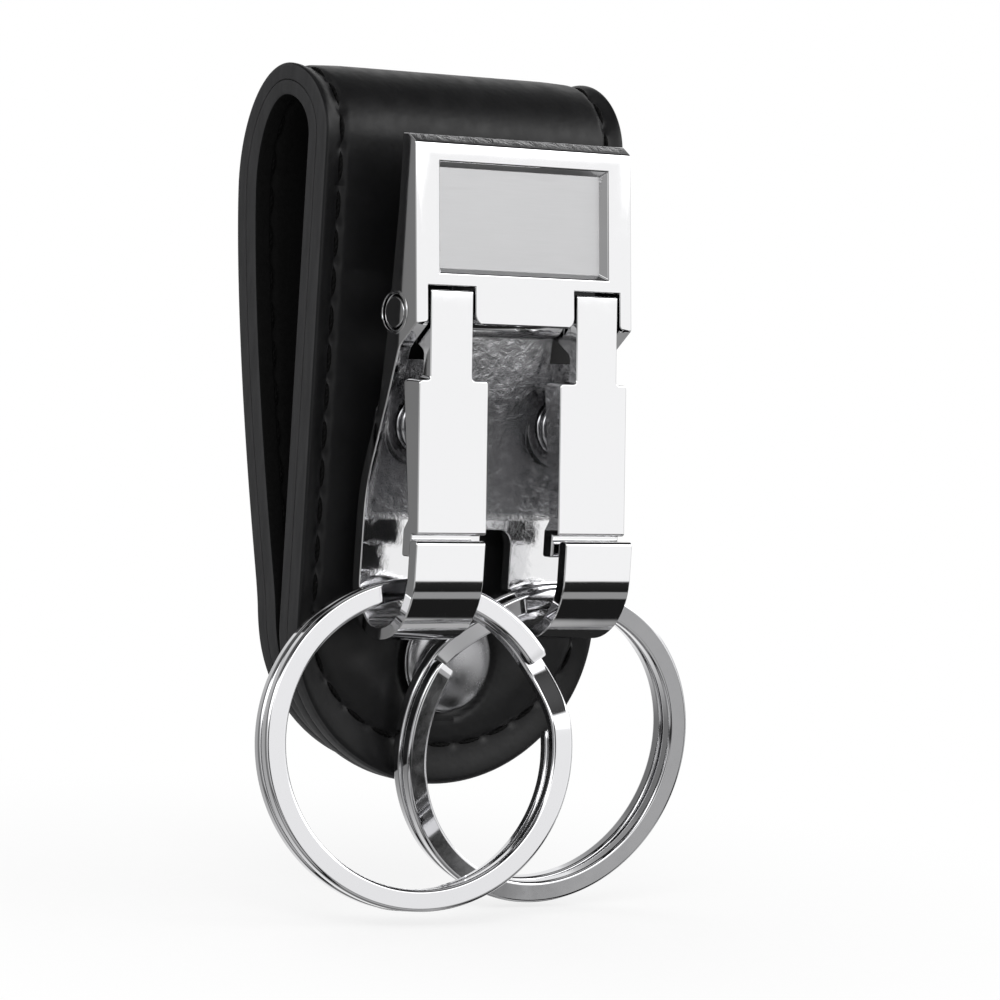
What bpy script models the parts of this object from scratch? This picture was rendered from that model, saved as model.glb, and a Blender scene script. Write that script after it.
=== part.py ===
# Leather belt keychain: a snap-closed leather loop with a cast clip, two sprung gates and two split rings.
# Units are metres, +Z is up and the front looks towards -Y. The origin is inside the top of the leather loop,
# on the centre line, where the top edge of a belt bears.

import bmesh
import bpy
import math
from mathutils import Matrix, Vector

mm = 0.001

# Leather loop
strap_width = 34.8 * mm
outer_ply = 1.5 * mm
lining_ply = 1.1 * mm
belt_depth = 7.5 * mm
flap_bulge = 0.3 * mm
press_run = 0.5 * mm
slope_start = 8.0 * mm
slope_power = 1.45
tongue_height = 15.0 * mm
strap_bottom = 63.0 * mm
flap_shortening = 0.8 * mm
layer_gap = 0.5 * mm

# Clearance between pieces that touch, and running clearance round the hinge pin
gap = 0.3 * mm
pin_clearance = 0.25 * mm

# Snap fastener
snap_drop = 51.3 * mm
cap_radius = 4.95 * mm
cap_height = 1.8 * mm
cap_rim = 0.5 * mm
cap_seat = 0.5 * mm
post_radius = 1.3 * mm
socket_radius = 4.2 * mm
socket_wall = 0.9 * mm
socket_floor = 0.35 * mm
stud_ball_radius = 1.8 * mm
stud_neck_radius = 1.45 * mm
stud_flange = 0.7 * mm
back_cap_radius = 3.6 * mm
back_cap_top_radius = 2.9 * mm
back_cap_height = 0.7 * mm

# Clip casting: "out" is the distance in front of the leather, "down" the distance below the clip's top edge
clip_top = -3.55 * mm
clip_width = 25.0 * mm
clip_wall = 1.15 * mm
frame_top_out = 7.0 * mm
frame_bottom_out = 8.76 * mm
frame_height = 16.25 * mm
frame_chamfer = 1.1 * mm
top_rise = 0.7 * mm
side_wall = 1.3 * mm
spine_top_out = 5.05 * mm
spine_bend_down = 6.0 * mm
spine_foot_out = 4.5 * mm
wall_knee_out = 6.4 * mm
wall_knee_down = 18.5 * mm
wall_knee_round = 2.0 * mm
wall_foot_out = 3.85 * mm
wall_foot_down = 23.5 * mm
pocket_step = 0.06 * mm
pocket_run = 0.6 * mm
crease_out = 2.1 * mm
crease_down = 30.5 * mm
tab_out = 1.4 * mm
tab_slot_width = 9.36 * mm
tab_slot_down = 35.4 * mm
hook_out = 10.85 * mm
hook_bottom_down = 45.2 * mm
hook_radius = 5.4 * mm
hook_wall = 1.15 * mm
hook_tip_down = 35.7 * mm
tip_round = 0.4 * mm
edge_round = 0.25 * mm
tab_slot_round = 1.5 * mm

# Recess for the bare plate in the clip's frame
window_width = 19.6 * mm
window_height = 10.1 * mm
window_down = 6.65 * mm
window_bevel = 0.6 * mm
window_depth = 1.0 * mm
plate_thickness = 0.4 * mm

# Hinge pin and the gates that it carries
pin_out = 5.39 * mm
pin_down = 15.47 * mm
pin_radius = 1.4 * mm
ear_radius = 2.05 * mm
ear_stand = 0.2 * mm
ear_rim = 0.15 * mm
ear_recess_depth = 0.45 * mm
pin_inset = 0.1 * mm
gate_neck_inner = 6.03 * mm
gate_neck_width = 4.77 * mm
gate_body_inner = 4.18 * mm
gate_body_width = 7.83 * mm
gate_top_down = 13.12 * mm
gate_shoulder_down = 21.3 * mm
gate_foot_down = 35.24 * mm
gate_top_out = 8.49 * mm
gate_foot_out = 10.21 * mm
gate_plate = 1.3 * mm
gate_top_depth = 2.4 * mm
gate_foot_depth = 1.6 * mm
gate_flange = 0.7 * mm
shoulder_slope = 0.35 * mm
lug_radius = 1.95 * mm
slot_run = 2.2 * mm
neck_run = 3.3 * mm
lip_length = 2.06 * mm
lip_thickness = 1.3 * mm
lip_clearance = 0.4 * mm

# Return springs behind the gates
spring_down = 25.6 * mm
spring_radius = 2.45 * mm
spring_wire = 0.3 * mm
spring_curls = 3
spring_points = 10
seat_out = 3.45 * mm
seat_floor = 1.15 * mm
seat_clearance = 0.5 * mm
seat_rim = 0.55 * mm
spigot_radius = 1.6 * mm
spigot_length = 1.0 * mm

# Split rings: two turns of flat wire with one ramp between them
ring_outer_radius = 15.1 * mm
ring_wire_width = 2.0 * mm
ring_wire_thickness = 1.34 * mm
ring_turn_gap = 0.42 * mm
ring_wire_round = 0.3 * mm
ring_ramp_degrees = 28.0
ring_turn_points = 30
full_turn = 360.0
turn_check = 10
ring_left_yaw = 14.0
ring_right_yaw = 7.0
ring_left_swing = -8.0
ring_right_swing = 6.0
ring_left_ramp = 20.0
ring_right_ramp = 134.0
ring_left_out = 6.0 * mm
ring_right_out = 5.6 * mm
ring_left_offset = 8.6 * mm
ring_right_offset = 8.4 * mm

# Rivets that hold the clip on the front layer
rivet_upper_down = 5.0 * mm
rivet_lower_down = 20.5 * mm
boss_radius = 3.0 * mm
rivet_shank_radius = 1.1 * mm
rivet_grip = 3.0 * mm
rivet_head_radius = 2.4 * mm
rivet_head_top_radius = 1.7 * mm
rivet_head_height = 0.7 * mm
washer_radius = 3.2 * mm
washer_thickness = 0.4 * mm

# Values that follow from the sizes above
strap_thickness = outer_ply + gap + lining_ply
front_inner = -belt_depth / 2
front_face = front_inner - strap_thickness
bend_radius = belt_depth / 2
flap_bottom = strap_bottom - flap_shortening
snap_z = -snap_drop
loop_drop = snap_drop - back_cap_radius - press_run
half_clip = clip_width / 2
half_slot = tab_slot_width / 2
hook_centre_out = hook_out - hook_radius
hook_centre_down = hook_bottom_down - hook_radius
frame_slope = (frame_bottom_out - frame_top_out) / frame_height
gate_slope = (gate_foot_out - gate_top_out) / (gate_foot_down - gate_top_down)
gate_middle = gate_body_inner + gate_body_width / 2
pin_hole_radius = pin_radius + pin_clearance
rivets = {"upper": rivet_upper_down, "lower": rivet_lower_down}
far = 60.0 * mm
round_steps = 24
arc_steps = 12
fold_steps = 12
slope_steps = 14
hang_steps = 60


def fresh_scene():
    for thing in list(bpy.data.objects):
        bpy.data.objects.remove(thing, do_unlink=True)
    for name in ("leather_keychain", "cutters"):
        collection = bpy.data.collections.get(name) or bpy.data.collections.new(name)
        if name not in bpy.context.scene.collection.children:
            bpy.context.scene.collection.children.link(collection)
    return bpy.data.collections["leather_keychain"], bpy.data.collections["cutters"]


parts, cutters = fresh_scene()


# Materials

def material(name, colour, roughness, metallic):
    finish = bpy.data.materials.new(name)
    finish.use_nodes = True
    shader = finish.node_tree.nodes["Principled BSDF"]
    shader.inputs["Base Color"].default_value = (*colour, 1.0)
    shader.inputs["Roughness"].default_value = roughness
    shader.inputs["Metallic"].default_value = metallic
    return finish


leather_finish = material("black_leather", (0.012, 0.012, 0.014), 0.42, 0.0)
lining_finish = material("black_lining", (0.02, 0.02, 0.021), 0.7, 0.0)
chrome_finish = material("bright_chrome", (0.78, 0.78, 0.8), 0.06, 1.0)
plate_finish = material("satin_plate", (0.7, 0.7, 0.71), 0.35, 1.0)
spring_finish = material("spring_steel", (0.6, 0.6, 0.62), 0.22, 1.0)
nickel_finish = material("nickel_plate", (0.5, 0.5, 0.51), 0.2, 1.0)


# Places on the clip and on the leather

def clip_y(out):
    return front_face - out


def clip_z(down):
    return clip_top - down


def clip_outline(points):
    return [(clip_y(out), clip_z(down)) for out, down in points]


def frame_out(down):
    return frame_top_out + frame_slope * down


def gate_out(down):
    return gate_top_out + gate_slope * (down - gate_top_down)


# Plane outlines

def arc(centre, radii, start, end, steps):
    """Points of an elliptical arc, with angles in degrees."""
    points = []
    for step in range(steps + 1):
        angle = math.radians(start + (end - start) * step / steps)
        points.append((centre[0] + radii[0] * math.cos(angle), centre[1] + radii[1] * math.sin(angle)))
    return points


def fillet(corners, steps=3):
    """Round the corners of a closed outline: each corner is (u, v) or (u, v, radius)."""
    outline = []
    for index, corner in enumerate(corners):
        here = Vector(corner[:2])
        if len(corner) == 2:
            outline.append(tuple(here))
            continue
        to_last = (Vector(corners[index - 1][:2]) - here).normalized()
        to_next = (Vector(corners[(index + 1) % len(corners)][:2]) - here).normalized()
        half = to_last.angle(to_next) / 2
        centre = here + (to_last + to_next).normalized() * corner[2] / math.sin(half)
        first = here + to_last * corner[2] / math.tan(half) - centre
        sweep = first.angle_signed(here + to_next * corner[2] / math.tan(half) - centre)
        for step in range(steps + 1):
            turn = -sweep * step / steps
            outline.append(tuple(centre + Matrix.Rotation(turn, 2) @ first))
    return outline


def offset_path(path, distances):
    """Move each point of an open path to its left by the given distance."""
    moved = []
    for index, point in enumerate(path):
        before = Vector(path[max(index - 1, 0)])
        after = Vector(path[min(index + 1, len(path) - 1)])
        along = (after - before).normalized()
        moved.append((point[0] - along.y * distances[index], point[1] + along.x * distances[index]))
    return moved


# Solid shapes

def placed(name, data, collection):
    """An object in a collection; what shapes other pieces is drawn as wires and left out of renders."""
    thing = bpy.data.objects.new(name, data)
    collection.objects.link(thing)
    if collection == cutters:
        thing.hide_render = True
        thing.display_type = "WIRE"
    return thing


def solid_from(source, name, collection):
    """Turn a curve or a modified object into one welded mesh object in world space."""
    bpy.context.view_layer.update()
    mesh = bpy.data.meshes.new_from_object(source.evaluated_get(bpy.context.evaluated_depsgraph_get()))
    mesh.transform(source.matrix_world)
    bpy.data.objects.remove(source, do_unlink=True)
    shape = bmesh.new()
    shape.from_mesh(mesh)
    bmesh.ops.remove_doubles(shape, verts=shape.verts, dist=0.001 * mm)
    bmesh.ops.recalc_face_normals(shape, faces=shape.faces)
    shape.to_mesh(mesh)
    shape.free()
    return placed(name, mesh, collection)


def prism(name, outline, frame, half, collection):
    """Extrude a plane outline half a thickness each way along the third axis of a frame."""
    curve = bpy.data.curves.new(name, "CURVE")
    curve.dimensions = "2D"
    curve.fill_mode = "BOTH"
    curve.extrude = half
    spline = curve.splines.new("POLY")
    spline.points.add(len(outline) - 1)
    for point, place in zip(spline.points, outline):
        point.co = (place[0], place[1], 0.0, 1.0)
    spline.use_cyclic_u = True
    source = placed(name, curve, cutters)
    source.matrix_world = frame
    return solid_from(source, name, collection)


def side_prism(name, outline, low, high, collection):
    """Extrude an outline of (Y, Z) points across the object, from X low to X high."""
    frame = Matrix(((0, 0, 1, (low + high) / 2), (1, 0, 0, 0), (0, 1, 0, 0), (0, 0, 0, 1)))
    return prism(name, outline, frame, (high - low) / 2, collection)


def front_prism(name, outline, low, high, collection):
    """Extrude an outline of (X, Z) points from front to back, from Y low to Y high."""
    frame = Matrix(((1, 0, 0, 0), (0, 0, -1, (low + high) / 2), (0, 1, 0, 0), (0, 0, 0, 1)))
    return prism(name, outline, frame, (high - low) / 2, collection)


def rod(name, start, end, radius, collection, steps=round_steps):
    """A cylinder between two points."""
    start, end = Vector(start), Vector(end)
    shape = bmesh.new()
    bmesh.ops.create_cone(shape, cap_ends=True, segments=steps, radius1=radius, radius2=radius,
                          depth=(end - start).length)
    turn = (end - start).to_track_quat("Z", "Y").to_matrix().to_4x4()
    bmesh.ops.transform(shape, matrix=Matrix.Translation((start + end) / 2) @ turn, verts=shape.verts)
    mesh = bpy.data.meshes.new(name)
    shape.to_mesh(mesh)
    shape.free()
    return placed(name, mesh, collection)


def turned(name, profile, x, z, collection):
    """Turn a profile of (radius, Y) points about a line along Y through X and Z.

    The profile starts on the line at its front end and runs to the line at its back end."""
    mesh = bpy.data.meshes.new(name)
    points = [(radius, 0.0, -y) for radius, y in profile]
    mesh.from_pydata(points, [(i, i + 1) for i in range(len(points) - 1)], [])
    source = placed(name, mesh, cutters)
    screw = source.modifiers.new("turn", "SCREW")
    screw.steps = round_steps
    screw.render_steps = round_steps
    screw.use_merge_vertices = True
    screw.merge_threshold = 0.001 * mm
    source.matrix_world = Matrix(((1, 0, 0, x), (0, 0, -1, 0), (0, 1, 0, z), (0, 0, 0, 1)))
    return solid_from(source, name, collection)


def boolean(thing, cutter, operation):
    step = thing.modifiers.new(operation.lower(), "BOOLEAN")
    step.operation = operation
    step.solver = "EXACT"
    step.object = cutter


def cut(thing, *tools):
    for tool in tools:
        boolean(thing, tool, "DIFFERENCE")


def join(thing, *tools):
    for tool in tools:
        boolean(thing, tool, "UNION")


def soften(thing, width, segments=1):
    """Break the sharp edges of a solid."""
    step = thing.modifiers.new("edges", "BEVEL")
    step.width = width
    step.segments = segments
    step.limit_method = "ANGLE"
    step.angle_limit = math.radians(50)


def pivot_at(thing, point):
    """Put the origin of a finished object on its joint's axis."""
    thing.data.transform(Matrix.Translation(-Vector(point)))
    thing.location = point


def finish(thing, look, smooth=True):
    thing.data.materials.append(look)
    if smooth:
        thing.data.shade_smooth()
        thing.data.set_sharp_from_angle(angle=math.radians(35))


# Leather: each layer has an outer ply and a lining, and the flap turns about the top of the fold

fold_axis = (0.0, 0.0, strap_thickness + gap)


def front_leg(inside, thickness):
    """Side outline of one ply of the front layer: its leg and its half of the fold."""
    outline = []
    for radius in (bend_radius + inside + thickness, bend_radius + inside):
        top = math.degrees(math.acos(-gap / 2 / radius))
        fold = arc((0.0, -bend_radius), (radius, radius), 180.0, top, fold_steps)
        side = [(-radius, -strap_bottom - far), *fold]
        outline += side if not outline else side[::-1]
    return outline


def flap_offset(drop):
    """How far the flap's inside stands behind the front layer's inside at a given depth."""
    share = min(max((drop - slope_start) / (loop_drop - slope_start), 0.0), 1.0)
    return layer_gap + (belt_depth + flap_bulge - layer_gap) * (1.0 - share ** slope_power)


def flap_leg(inside, thickness):
    """Side outline of one ply of the flap, from the fold down to the tongue."""
    slope = loop_drop - slope_start
    drops = [slope_start + slope * step / slope_steps for step in range(slope_steps + 1)]
    drops.append(strap_bottom + far)
    outline = []
    for distance in (inside + thickness, inside):
        reach = bend_radius + flap_bulge + distance
        top = math.degrees(math.acos(gap / 2 / reach))
        fold = arc((0.0, -slope_start), (reach, slope_start + distance), top, 0.0, fold_steps)
        side = fold + [(front_inner + flap_offset(drop) + distance, -drop) for drop in drops]
        outline += side if not outline else side[::-1]
    return outline


def tongue(bottom, low, high):
    """Front outline of a layer: straight sides and a round lower end."""
    half = strap_width / 2
    end = arc((0.0, -bottom + tongue_height), (half, tongue_height), 180.0, 360.0, round_steps)
    return front_prism("tongue_outline", [(-half, far / 2), *end, (half, far / 2)], low, high, cutters)


def leather_ply(name, outline, bottom, look):
    half = strap_width / 2
    ply = side_prism(name, outline, -half - gap, half + gap, parts)
    boolean(ply, tongue(bottom, -far, far), "INTERSECT")
    finish(ply, look)
    return ply


strap_front = leather_ply("strap_front", front_leg(lining_ply + gap, outer_ply), strap_bottom, leather_finish)
lining_front = leather_ply("lining_front", front_leg(0.0, lining_ply), strap_bottom, lining_finish)
strap_flap = leather_ply("strap_flap", flap_leg(lining_ply + gap, outer_ply), flap_bottom, leather_finish)
lining_flap = leather_ply("lining_flap", flap_leg(0.0, lining_ply), flap_bottom, lining_finish)


# Snap fastener: cap and socket on the front layer, stud and back cap on the flap

front_ply_inside = front_face + outer_ply
flap_inside = front_inner + layer_gap
flap_ply_inside = flap_inside + lining_ply + gap
flap_face = flap_ply_inside + outer_ply
socket_front = front_ply_inside + gap
socket_back = front_inner
stud_front = flap_inside
stud_back = stud_front + stud_flange
ball_tip = socket_front + socket_floor + gap

cut(strap_front, rod("cap_hole", (0, -far, snap_z), (0, 0, snap_z), post_radius + gap, cutters))
recess_end = (0, front_face + cap_seat, snap_z)
cut(strap_front, rod("cap_recess", (0, -far, snap_z), recess_end, cap_radius + gap, cutters))
cut(lining_front, rod("socket_hole", (0, -far, snap_z), (0, 0, snap_z), socket_radius + gap, cutters))
cut(lining_flap, rod("stud_hole", (0, -far, snap_z), (0, far, snap_z), socket_radius + gap, cutters))
cut(strap_flap, rod("back_cap_hole", (0, -far, snap_z), (0, far, snap_z), post_radius + gap, cutters))

cap_base = front_face + cap_seat - gap
dome = [(cap_radius * math.sin(angle), cap_base - cap_rim - (cap_height - cap_rim) * math.cos(angle))
        for angle in (math.radians(90 * step / arc_steps) for step in range(arc_steps + 1))]
snap_cap = turned("snap_cap", dome + [(cap_radius, cap_base), (post_radius, cap_base),
                                      (post_radius, socket_front - gap), (0.0, socket_front - gap)],
                  0.0, snap_z, parts)
finish(snap_cap, chrome_finish)

bore = stud_ball_radius + gap
socket_inside = socket_front + socket_floor
socket_profile = [(0.0, socket_front), (socket_radius - socket_wall, socket_front),
                  (socket_radius, socket_front + socket_wall / 2), (socket_radius, socket_back),
                  (bore, socket_back), (bore, socket_inside), (0.0, socket_inside)]
snap_socket = turned("snap_socket", socket_profile, 0.0, snap_z, parts)
finish(snap_socket, nickel_finish)

stud_profile = [(0.0, ball_tip), (stud_neck_radius, ball_tip),
                (stud_ball_radius, (ball_tip + stud_front) / 2), (stud_neck_radius, stud_front),
                (socket_radius, stud_front), (socket_radius, stud_back), (0.0, stud_back)]
snap_stud = turned("snap_stud", stud_profile, 0.0, snap_z, parts)
finish(snap_stud, nickel_finish)

back_base = flap_face + gap
snap_back_cap = turned("snap_back_cap", [(0.0, stud_back + gap), (post_radius, stud_back + gap),
                                         (post_radius, back_base), (back_cap_radius, back_base),
                                         (back_cap_radius, back_base + back_cap_height / 2),
                                         (back_cap_top_radius, back_base + back_cap_height),
                                         (0.0, back_base + back_cap_height)], 0.0, snap_z, parts)
finish(snap_back_cap, nickel_finish)
for piece in (strap_flap, lining_flap, snap_stud, snap_back_cap):
    pivot_at(piece, fold_axis)


# Clip casting: frame, spine, tabs and hooks share one side outline, and the rest is joined or cut

def spine_back():
    """Back of the casting from its top edge down to the tip of the hook, as (out, down) points."""
    line = [(spine_top_out, -top_rise), (spine_top_out, spine_bend_down), (spine_foot_out, frame_height),
            (wall_foot_out, wall_foot_down), (crease_out, crease_down)]
    centre = (hook_centre_out, hook_centre_down)
    back = arc(centre, (hook_centre_out - tab_out, hook_radius), 180.0, 90.0, arc_steps)
    front = arc(centre, (hook_radius, hook_radius), 90.0, 0.0, arc_steps)
    return line + back + front[1:] + [(hook_out, hook_tip_down)]


def spine_front():
    """Front of the spine and inside of the hook, from the foot of the side walls to the hook's tip."""
    back = spine_back()
    walls = [hook_wall if down > crease_down else clip_wall for out, down in back]
    front = offset_path(back, [-wall for wall in walls])
    return front[3:]


hook_inside = spine_front()
wall_foot = hook_inside[0]
frame_foot_out = spine_foot_out + clip_wall
side_corners = [*spine_back()[:-1], (hook_out, hook_tip_down, tip_round),
                (*hook_inside[-1], tip_round), *hook_inside[-2:0:-1], wall_foot,
                (wall_knee_out, wall_knee_down, wall_knee_round),
                (frame_bottom_out, frame_height, edge_round), (frame_top_out, 0.0, edge_round),
                (frame_top_out - frame_chamfer, -top_rise)]
clip_body = side_prism("clip_body", clip_outline(fillet(side_corners)), -half_clip, half_clip, parts)

pin_y, pin_z = clip_y(pin_out), clip_z(pin_down)
ear_end = half_clip + ear_stand
join(clip_body, rod("pin_barrel", (-ear_end, pin_y, pin_z), (ear_end, pin_y, pin_z), ear_radius, cutters))

boss_end = front_face - gap
boss_root = clip_y(spine_foot_out + clip_wall / 2)
for label, down in rivets.items():
    z = clip_z(down)
    join(clip_body, rod(f"boss_{label}", (0, boss_end, z), (0, boss_root, z), boss_radius, cutters))

seat_y, seat_z = clip_y(seat_out), clip_z(spring_down)
seat_radius = spring_radius + spring_wire + seat_clearance
for side in (-1, 1):
    x = side * gate_middle
    join(clip_body, rod("seat_boss", (x, seat_y + seat_floor, seat_z), (x, seat_y - seat_floor, seat_z),
                        seat_radius + seat_rim, cutters))

inner_half = half_clip - side_wall
pocket_end = (wall_foot[0] + pocket_step, wall_foot[1] + pocket_run)
barrel_foot = pin_down + ear_radius
pocket = clip_outline([pocket_end, (frame_foot_out, barrel_foot), (pin_out + ear_radius, barrel_foot),
                       (frame_bottom_out - side_wall, frame_height), (frame_bottom_out + far, frame_height),
                       (frame_bottom_out + far, pocket_end[1])])
cut(clip_body, side_prism("pocket", pocket, -inner_half, inner_half, cutters))

slot_low = gate_neck_inner - gap
slot_high = gate_neck_inner + gate_neck_width + gap
slot_top = clip_z(gate_top_down - gap)
slot_end = clip_z(pin_down + lug_radius + slot_run)
slot_outline = [(slot_low, slot_end), (slot_high, slot_end), (slot_high, slot_top), (slot_low, slot_top)]
for side in (-1, 1):
    outline = [(side * x, z) for x, z in slot_outline]
    cut(clip_body, front_prism("gate_slot", outline, -far, front_face, cutters))
    x = side * gate_middle
    cut(clip_body, rod("spring_seat", (x, seat_y, seat_z), (x, -far, seat_z), seat_radius, cutters))

tab_slot = fillet([(-half_slot, -far), (half_slot, -far), (half_slot, clip_z(tab_slot_down), tab_slot_round),
                   (-half_slot, clip_z(tab_slot_down), tab_slot_round)])
cut(clip_body, front_prism("tab_slot", tab_slot, -far, 0.0, cutters))
cut(clip_body, rod("pin_hole", (-far, pin_y, pin_z), (far, pin_y, pin_z), pin_hole_radius, cutters))
for side in (-1, 1):
    start = (side * (ear_end - ear_recess_depth), pin_y, pin_z)
    cut(clip_body, rod("ear_recess", start, (side * far, pin_y, pin_z), ear_radius - ear_rim, cutters))
for label, down in rivets.items():
    z = clip_z(down)
    cut(clip_body, rod(f"rivet_bore_{label}", (0, 0, z), (0, boss_end - rivet_grip - gap, z),
                       rivet_shank_radius + gap / 2, cutters))


def window_block(name, width, height, back, front, flare, collection):
    """A block in the recess of the frame, from a depth behind the frame's face to one in front of it."""
    shape = bmesh.new()
    bmesh.ops.create_cube(shape, size=1.0)
    for corner in shape.verts:
        is_front = corner.co.y < 0
        corner.co.x *= width + (2 * flare if is_front else 0.0)
        corner.co.z *= height + (2 * flare if is_front else 0.0)
        corner.co.y = -front if is_front else back
    place = Matrix.Translation((0, clip_y(frame_out(window_down)), clip_z(window_down)))
    turn = Matrix.Rotation(-math.atan(frame_slope), 4, "X")
    mesh = bpy.data.meshes.new(name)
    bmesh.ops.transform(shape, matrix=place @ turn, verts=shape.verts)
    shape.to_mesh(mesh)
    shape.free()
    return placed(name, mesh, collection)


floor_width = window_width - 2 * window_bevel
floor_height = window_height - 2 * window_bevel
flare = 2 * window_bevel
window = window_block("window", floor_width, floor_height, window_depth, window_depth, flare, cutters)
cut(clip_body, window)
finish(clip_body, chrome_finish)

plate_back = window_depth - gap
window_plate = window_block("window_plate", floor_width - gap, floor_height - gap, plate_back,
                            plate_thickness - plate_back, 0.0, parts)
finish(window_plate, plate_finish, smooth=False)


# Hinge pin and gates

pin_end = ear_end - pin_inset
hinge_pin = rod("hinge_pin", (-pin_end, pin_y, pin_z), (pin_end, pin_y, pin_z), pin_radius, parts)
soften(hinge_pin, pin_inset)
finish(hinge_pin, chrome_finish)


def gate_side():
    """Side outline of a gate: neck, lug round the pin, hollow body and the lip behind the hook."""
    lip_out = hook_out - hook_wall - lip_clearance
    lip_back = lip_out - lip_thickness
    lip_end = gate_foot_down + lip_length
    shoulder_back = gate_out(gate_shoulder_down) - gate_top_depth
    neck_back = gate_out(gate_shoulder_down) - gate_plate
    foot_back = gate_out(gate_foot_down) - gate_foot_depth
    lug = arc((pin_out, pin_down), (lug_radius, lug_radius), 90.0, 270.0, 2 * arc_steps)
    return [(gate_top_out, gate_top_down, edge_round), (gate_foot_out, gate_foot_down, edge_round),
            (lip_out, gate_foot_down), (lip_out, lip_end, edge_round), (lip_back, lip_end, edge_round),
            (lip_back, gate_foot_down - shoulder_slope), (foot_back, gate_foot_down - lip_thickness),
            (shoulder_back, gate_shoulder_down + shoulder_slope),
            (neck_back, gate_shoulder_down - shoulder_slope),
            (neck_back, pin_down + neck_run, gate_plate / 2), *lug]


def gate(name, side):
    inner, outer = gate_body_inner, gate_body_inner + gate_body_width
    low, high = sorted((side * inner, side * outer))
    shape = side_prism(name, clip_outline(fillet(gate_side())), low, high, parts)
    neck_inner, neck_outer = gate_neck_inner, gate_neck_inner + gate_neck_width
    shoulder, top = clip_z(gate_shoulder_down), clip_z(gate_top_down)
    foot = clip_z(gate_foot_down + lip_length)
    face = fillet([(neck_inner, top + far), (neck_outer, top + far), (neck_outer, shoulder),
                   (outer + gap, shoulder), (outer + gap, foot - gap), (inner - gap, foot - gap),
                   (inner - gap, shoulder), (neck_inner, shoulder)])
    face = [(side * x, z) for x, z in face]
    boolean(shape, front_prism("gate_face", face, -far, 0.0, cutters), "INTERSECT")
    hollow_top, hollow_foot = gate_shoulder_down + gate_flange, gate_foot_down - lip_thickness
    plate_back = [(gate_out(down) - gate_plate, down) for down in (hollow_top, hollow_foot)]
    hollow = clip_outline([*plate_back, (0.0, hollow_foot), (0.0, hollow_top)])
    low, high = sorted((side * (inner + gate_flange), side * (outer - gate_flange)))
    cut(shape, side_prism("gate_hollow", hollow, low, high, cutters))
    x, z = side * gate_middle, clip_z(spring_down)
    root = clip_y(gate_out(spring_down) - gate_plate / 2)
    tip = root + gate_plate / 2 + spigot_length
    join(shape, rod("spigot", (x, root, z), (x, tip, z), spigot_radius, cutters))
    cut(shape, rod("lug_hole", (-far, pin_y, pin_z), (far, pin_y, pin_z), pin_hole_radius, cutters))
    pivot_at(shape, (side * gate_middle, pin_y, pin_z))
    finish(shape, chrome_finish)


gate("gate_left", -1)
gate("gate_right", 1)


# Springs and split rings

def least_gap(points, neighbours, thickness):
    """Smallest distance between two turns of one wire, from its points, less the wire's own thickness."""
    return min((points[i] - points[j]).length for i in range(len(points))
               for j in range(i + neighbours, len(points))) - thickness


def spring(name, side):
    """A compression spring along Y, between its seat in the casting and the back of the gate."""
    start = seat_y - spring_wire - seat_clearance / 2
    end = clip_y(gate_out(spring_down) - gate_plate) + spring_wire + seat_clearance / 2
    count = spring_curls * spring_points
    points = []
    for step in range(count + 1):
        turn = 2 * math.pi * step / spring_points
        points.append(Vector((side * gate_middle + side * spring_radius * math.cos(turn),
                              start + (end - start) * step / count, seat_z + spring_radius * math.sin(turn))))
    curve = bpy.data.curves.new(name, "CURVE")
    curve.dimensions = "3D"
    curve.bevel_depth = spring_wire
    curve.bevel_resolution = 1
    curve.use_fill_caps = True
    spline = curve.splines.new("POLY")
    spline.points.add(count)
    for place, point in zip(spline.points, points):
        place.co = (*point, 1.0)
    source = placed(name, curve, cutters)
    finish(solid_from(source, name, parts), spring_finish)
    print(name, "least gap", round(least_gap(points, spring_points // 2, 2 * spring_wire) / mm, 2), "mm")


spring("spring_left", -1)
spring("spring_right", 1)


def ring_axial(turn):
    """Place of the wire along the ring's axis, for an angle in degrees from its start."""
    pitch = ring_wire_thickness + ring_turn_gap
    share = min(max((turn - full_turn + ring_ramp_degrees) / ring_ramp_degrees, 0.0), 1.0)
    return pitch * (0.5 - share * share * (3.0 - 2.0 * share))


def wire_section(width, thickness, round_corner):
    """Rounded flat section of the ring's wire, as a closed curve."""
    curve = bpy.data.curves.new("wire_section", "CURVE")
    curve.dimensions = "2D"
    across, up = width / 2, thickness / 2
    outline = fillet([(-across, -up, round_corner), (across, -up, round_corner),
                      (across, up, round_corner), (-across, up, round_corner)], 1)
    spline = curve.splines.new("POLY")
    spline.points.add(len(outline) - 1)
    for point, place in zip(spline.points, outline):
        point.co = (place[0], place[1], 0.0, 1.0)
    spline.use_cyclic_u = True
    return placed("wire_section", curve, cutters)


def channel_floor(out):
    """Height of the inside of a hook at a distance in front of the leather."""
    reach = hook_radius if out > hook_centre_out else hook_centre_out - tab_out
    share = min(abs(out - hook_centre_out) / (reach - hook_wall), 1.0)
    return clip_z(hook_centre_down + (hook_radius - hook_wall) * math.sqrt(1.0 - share ** 2))


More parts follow.
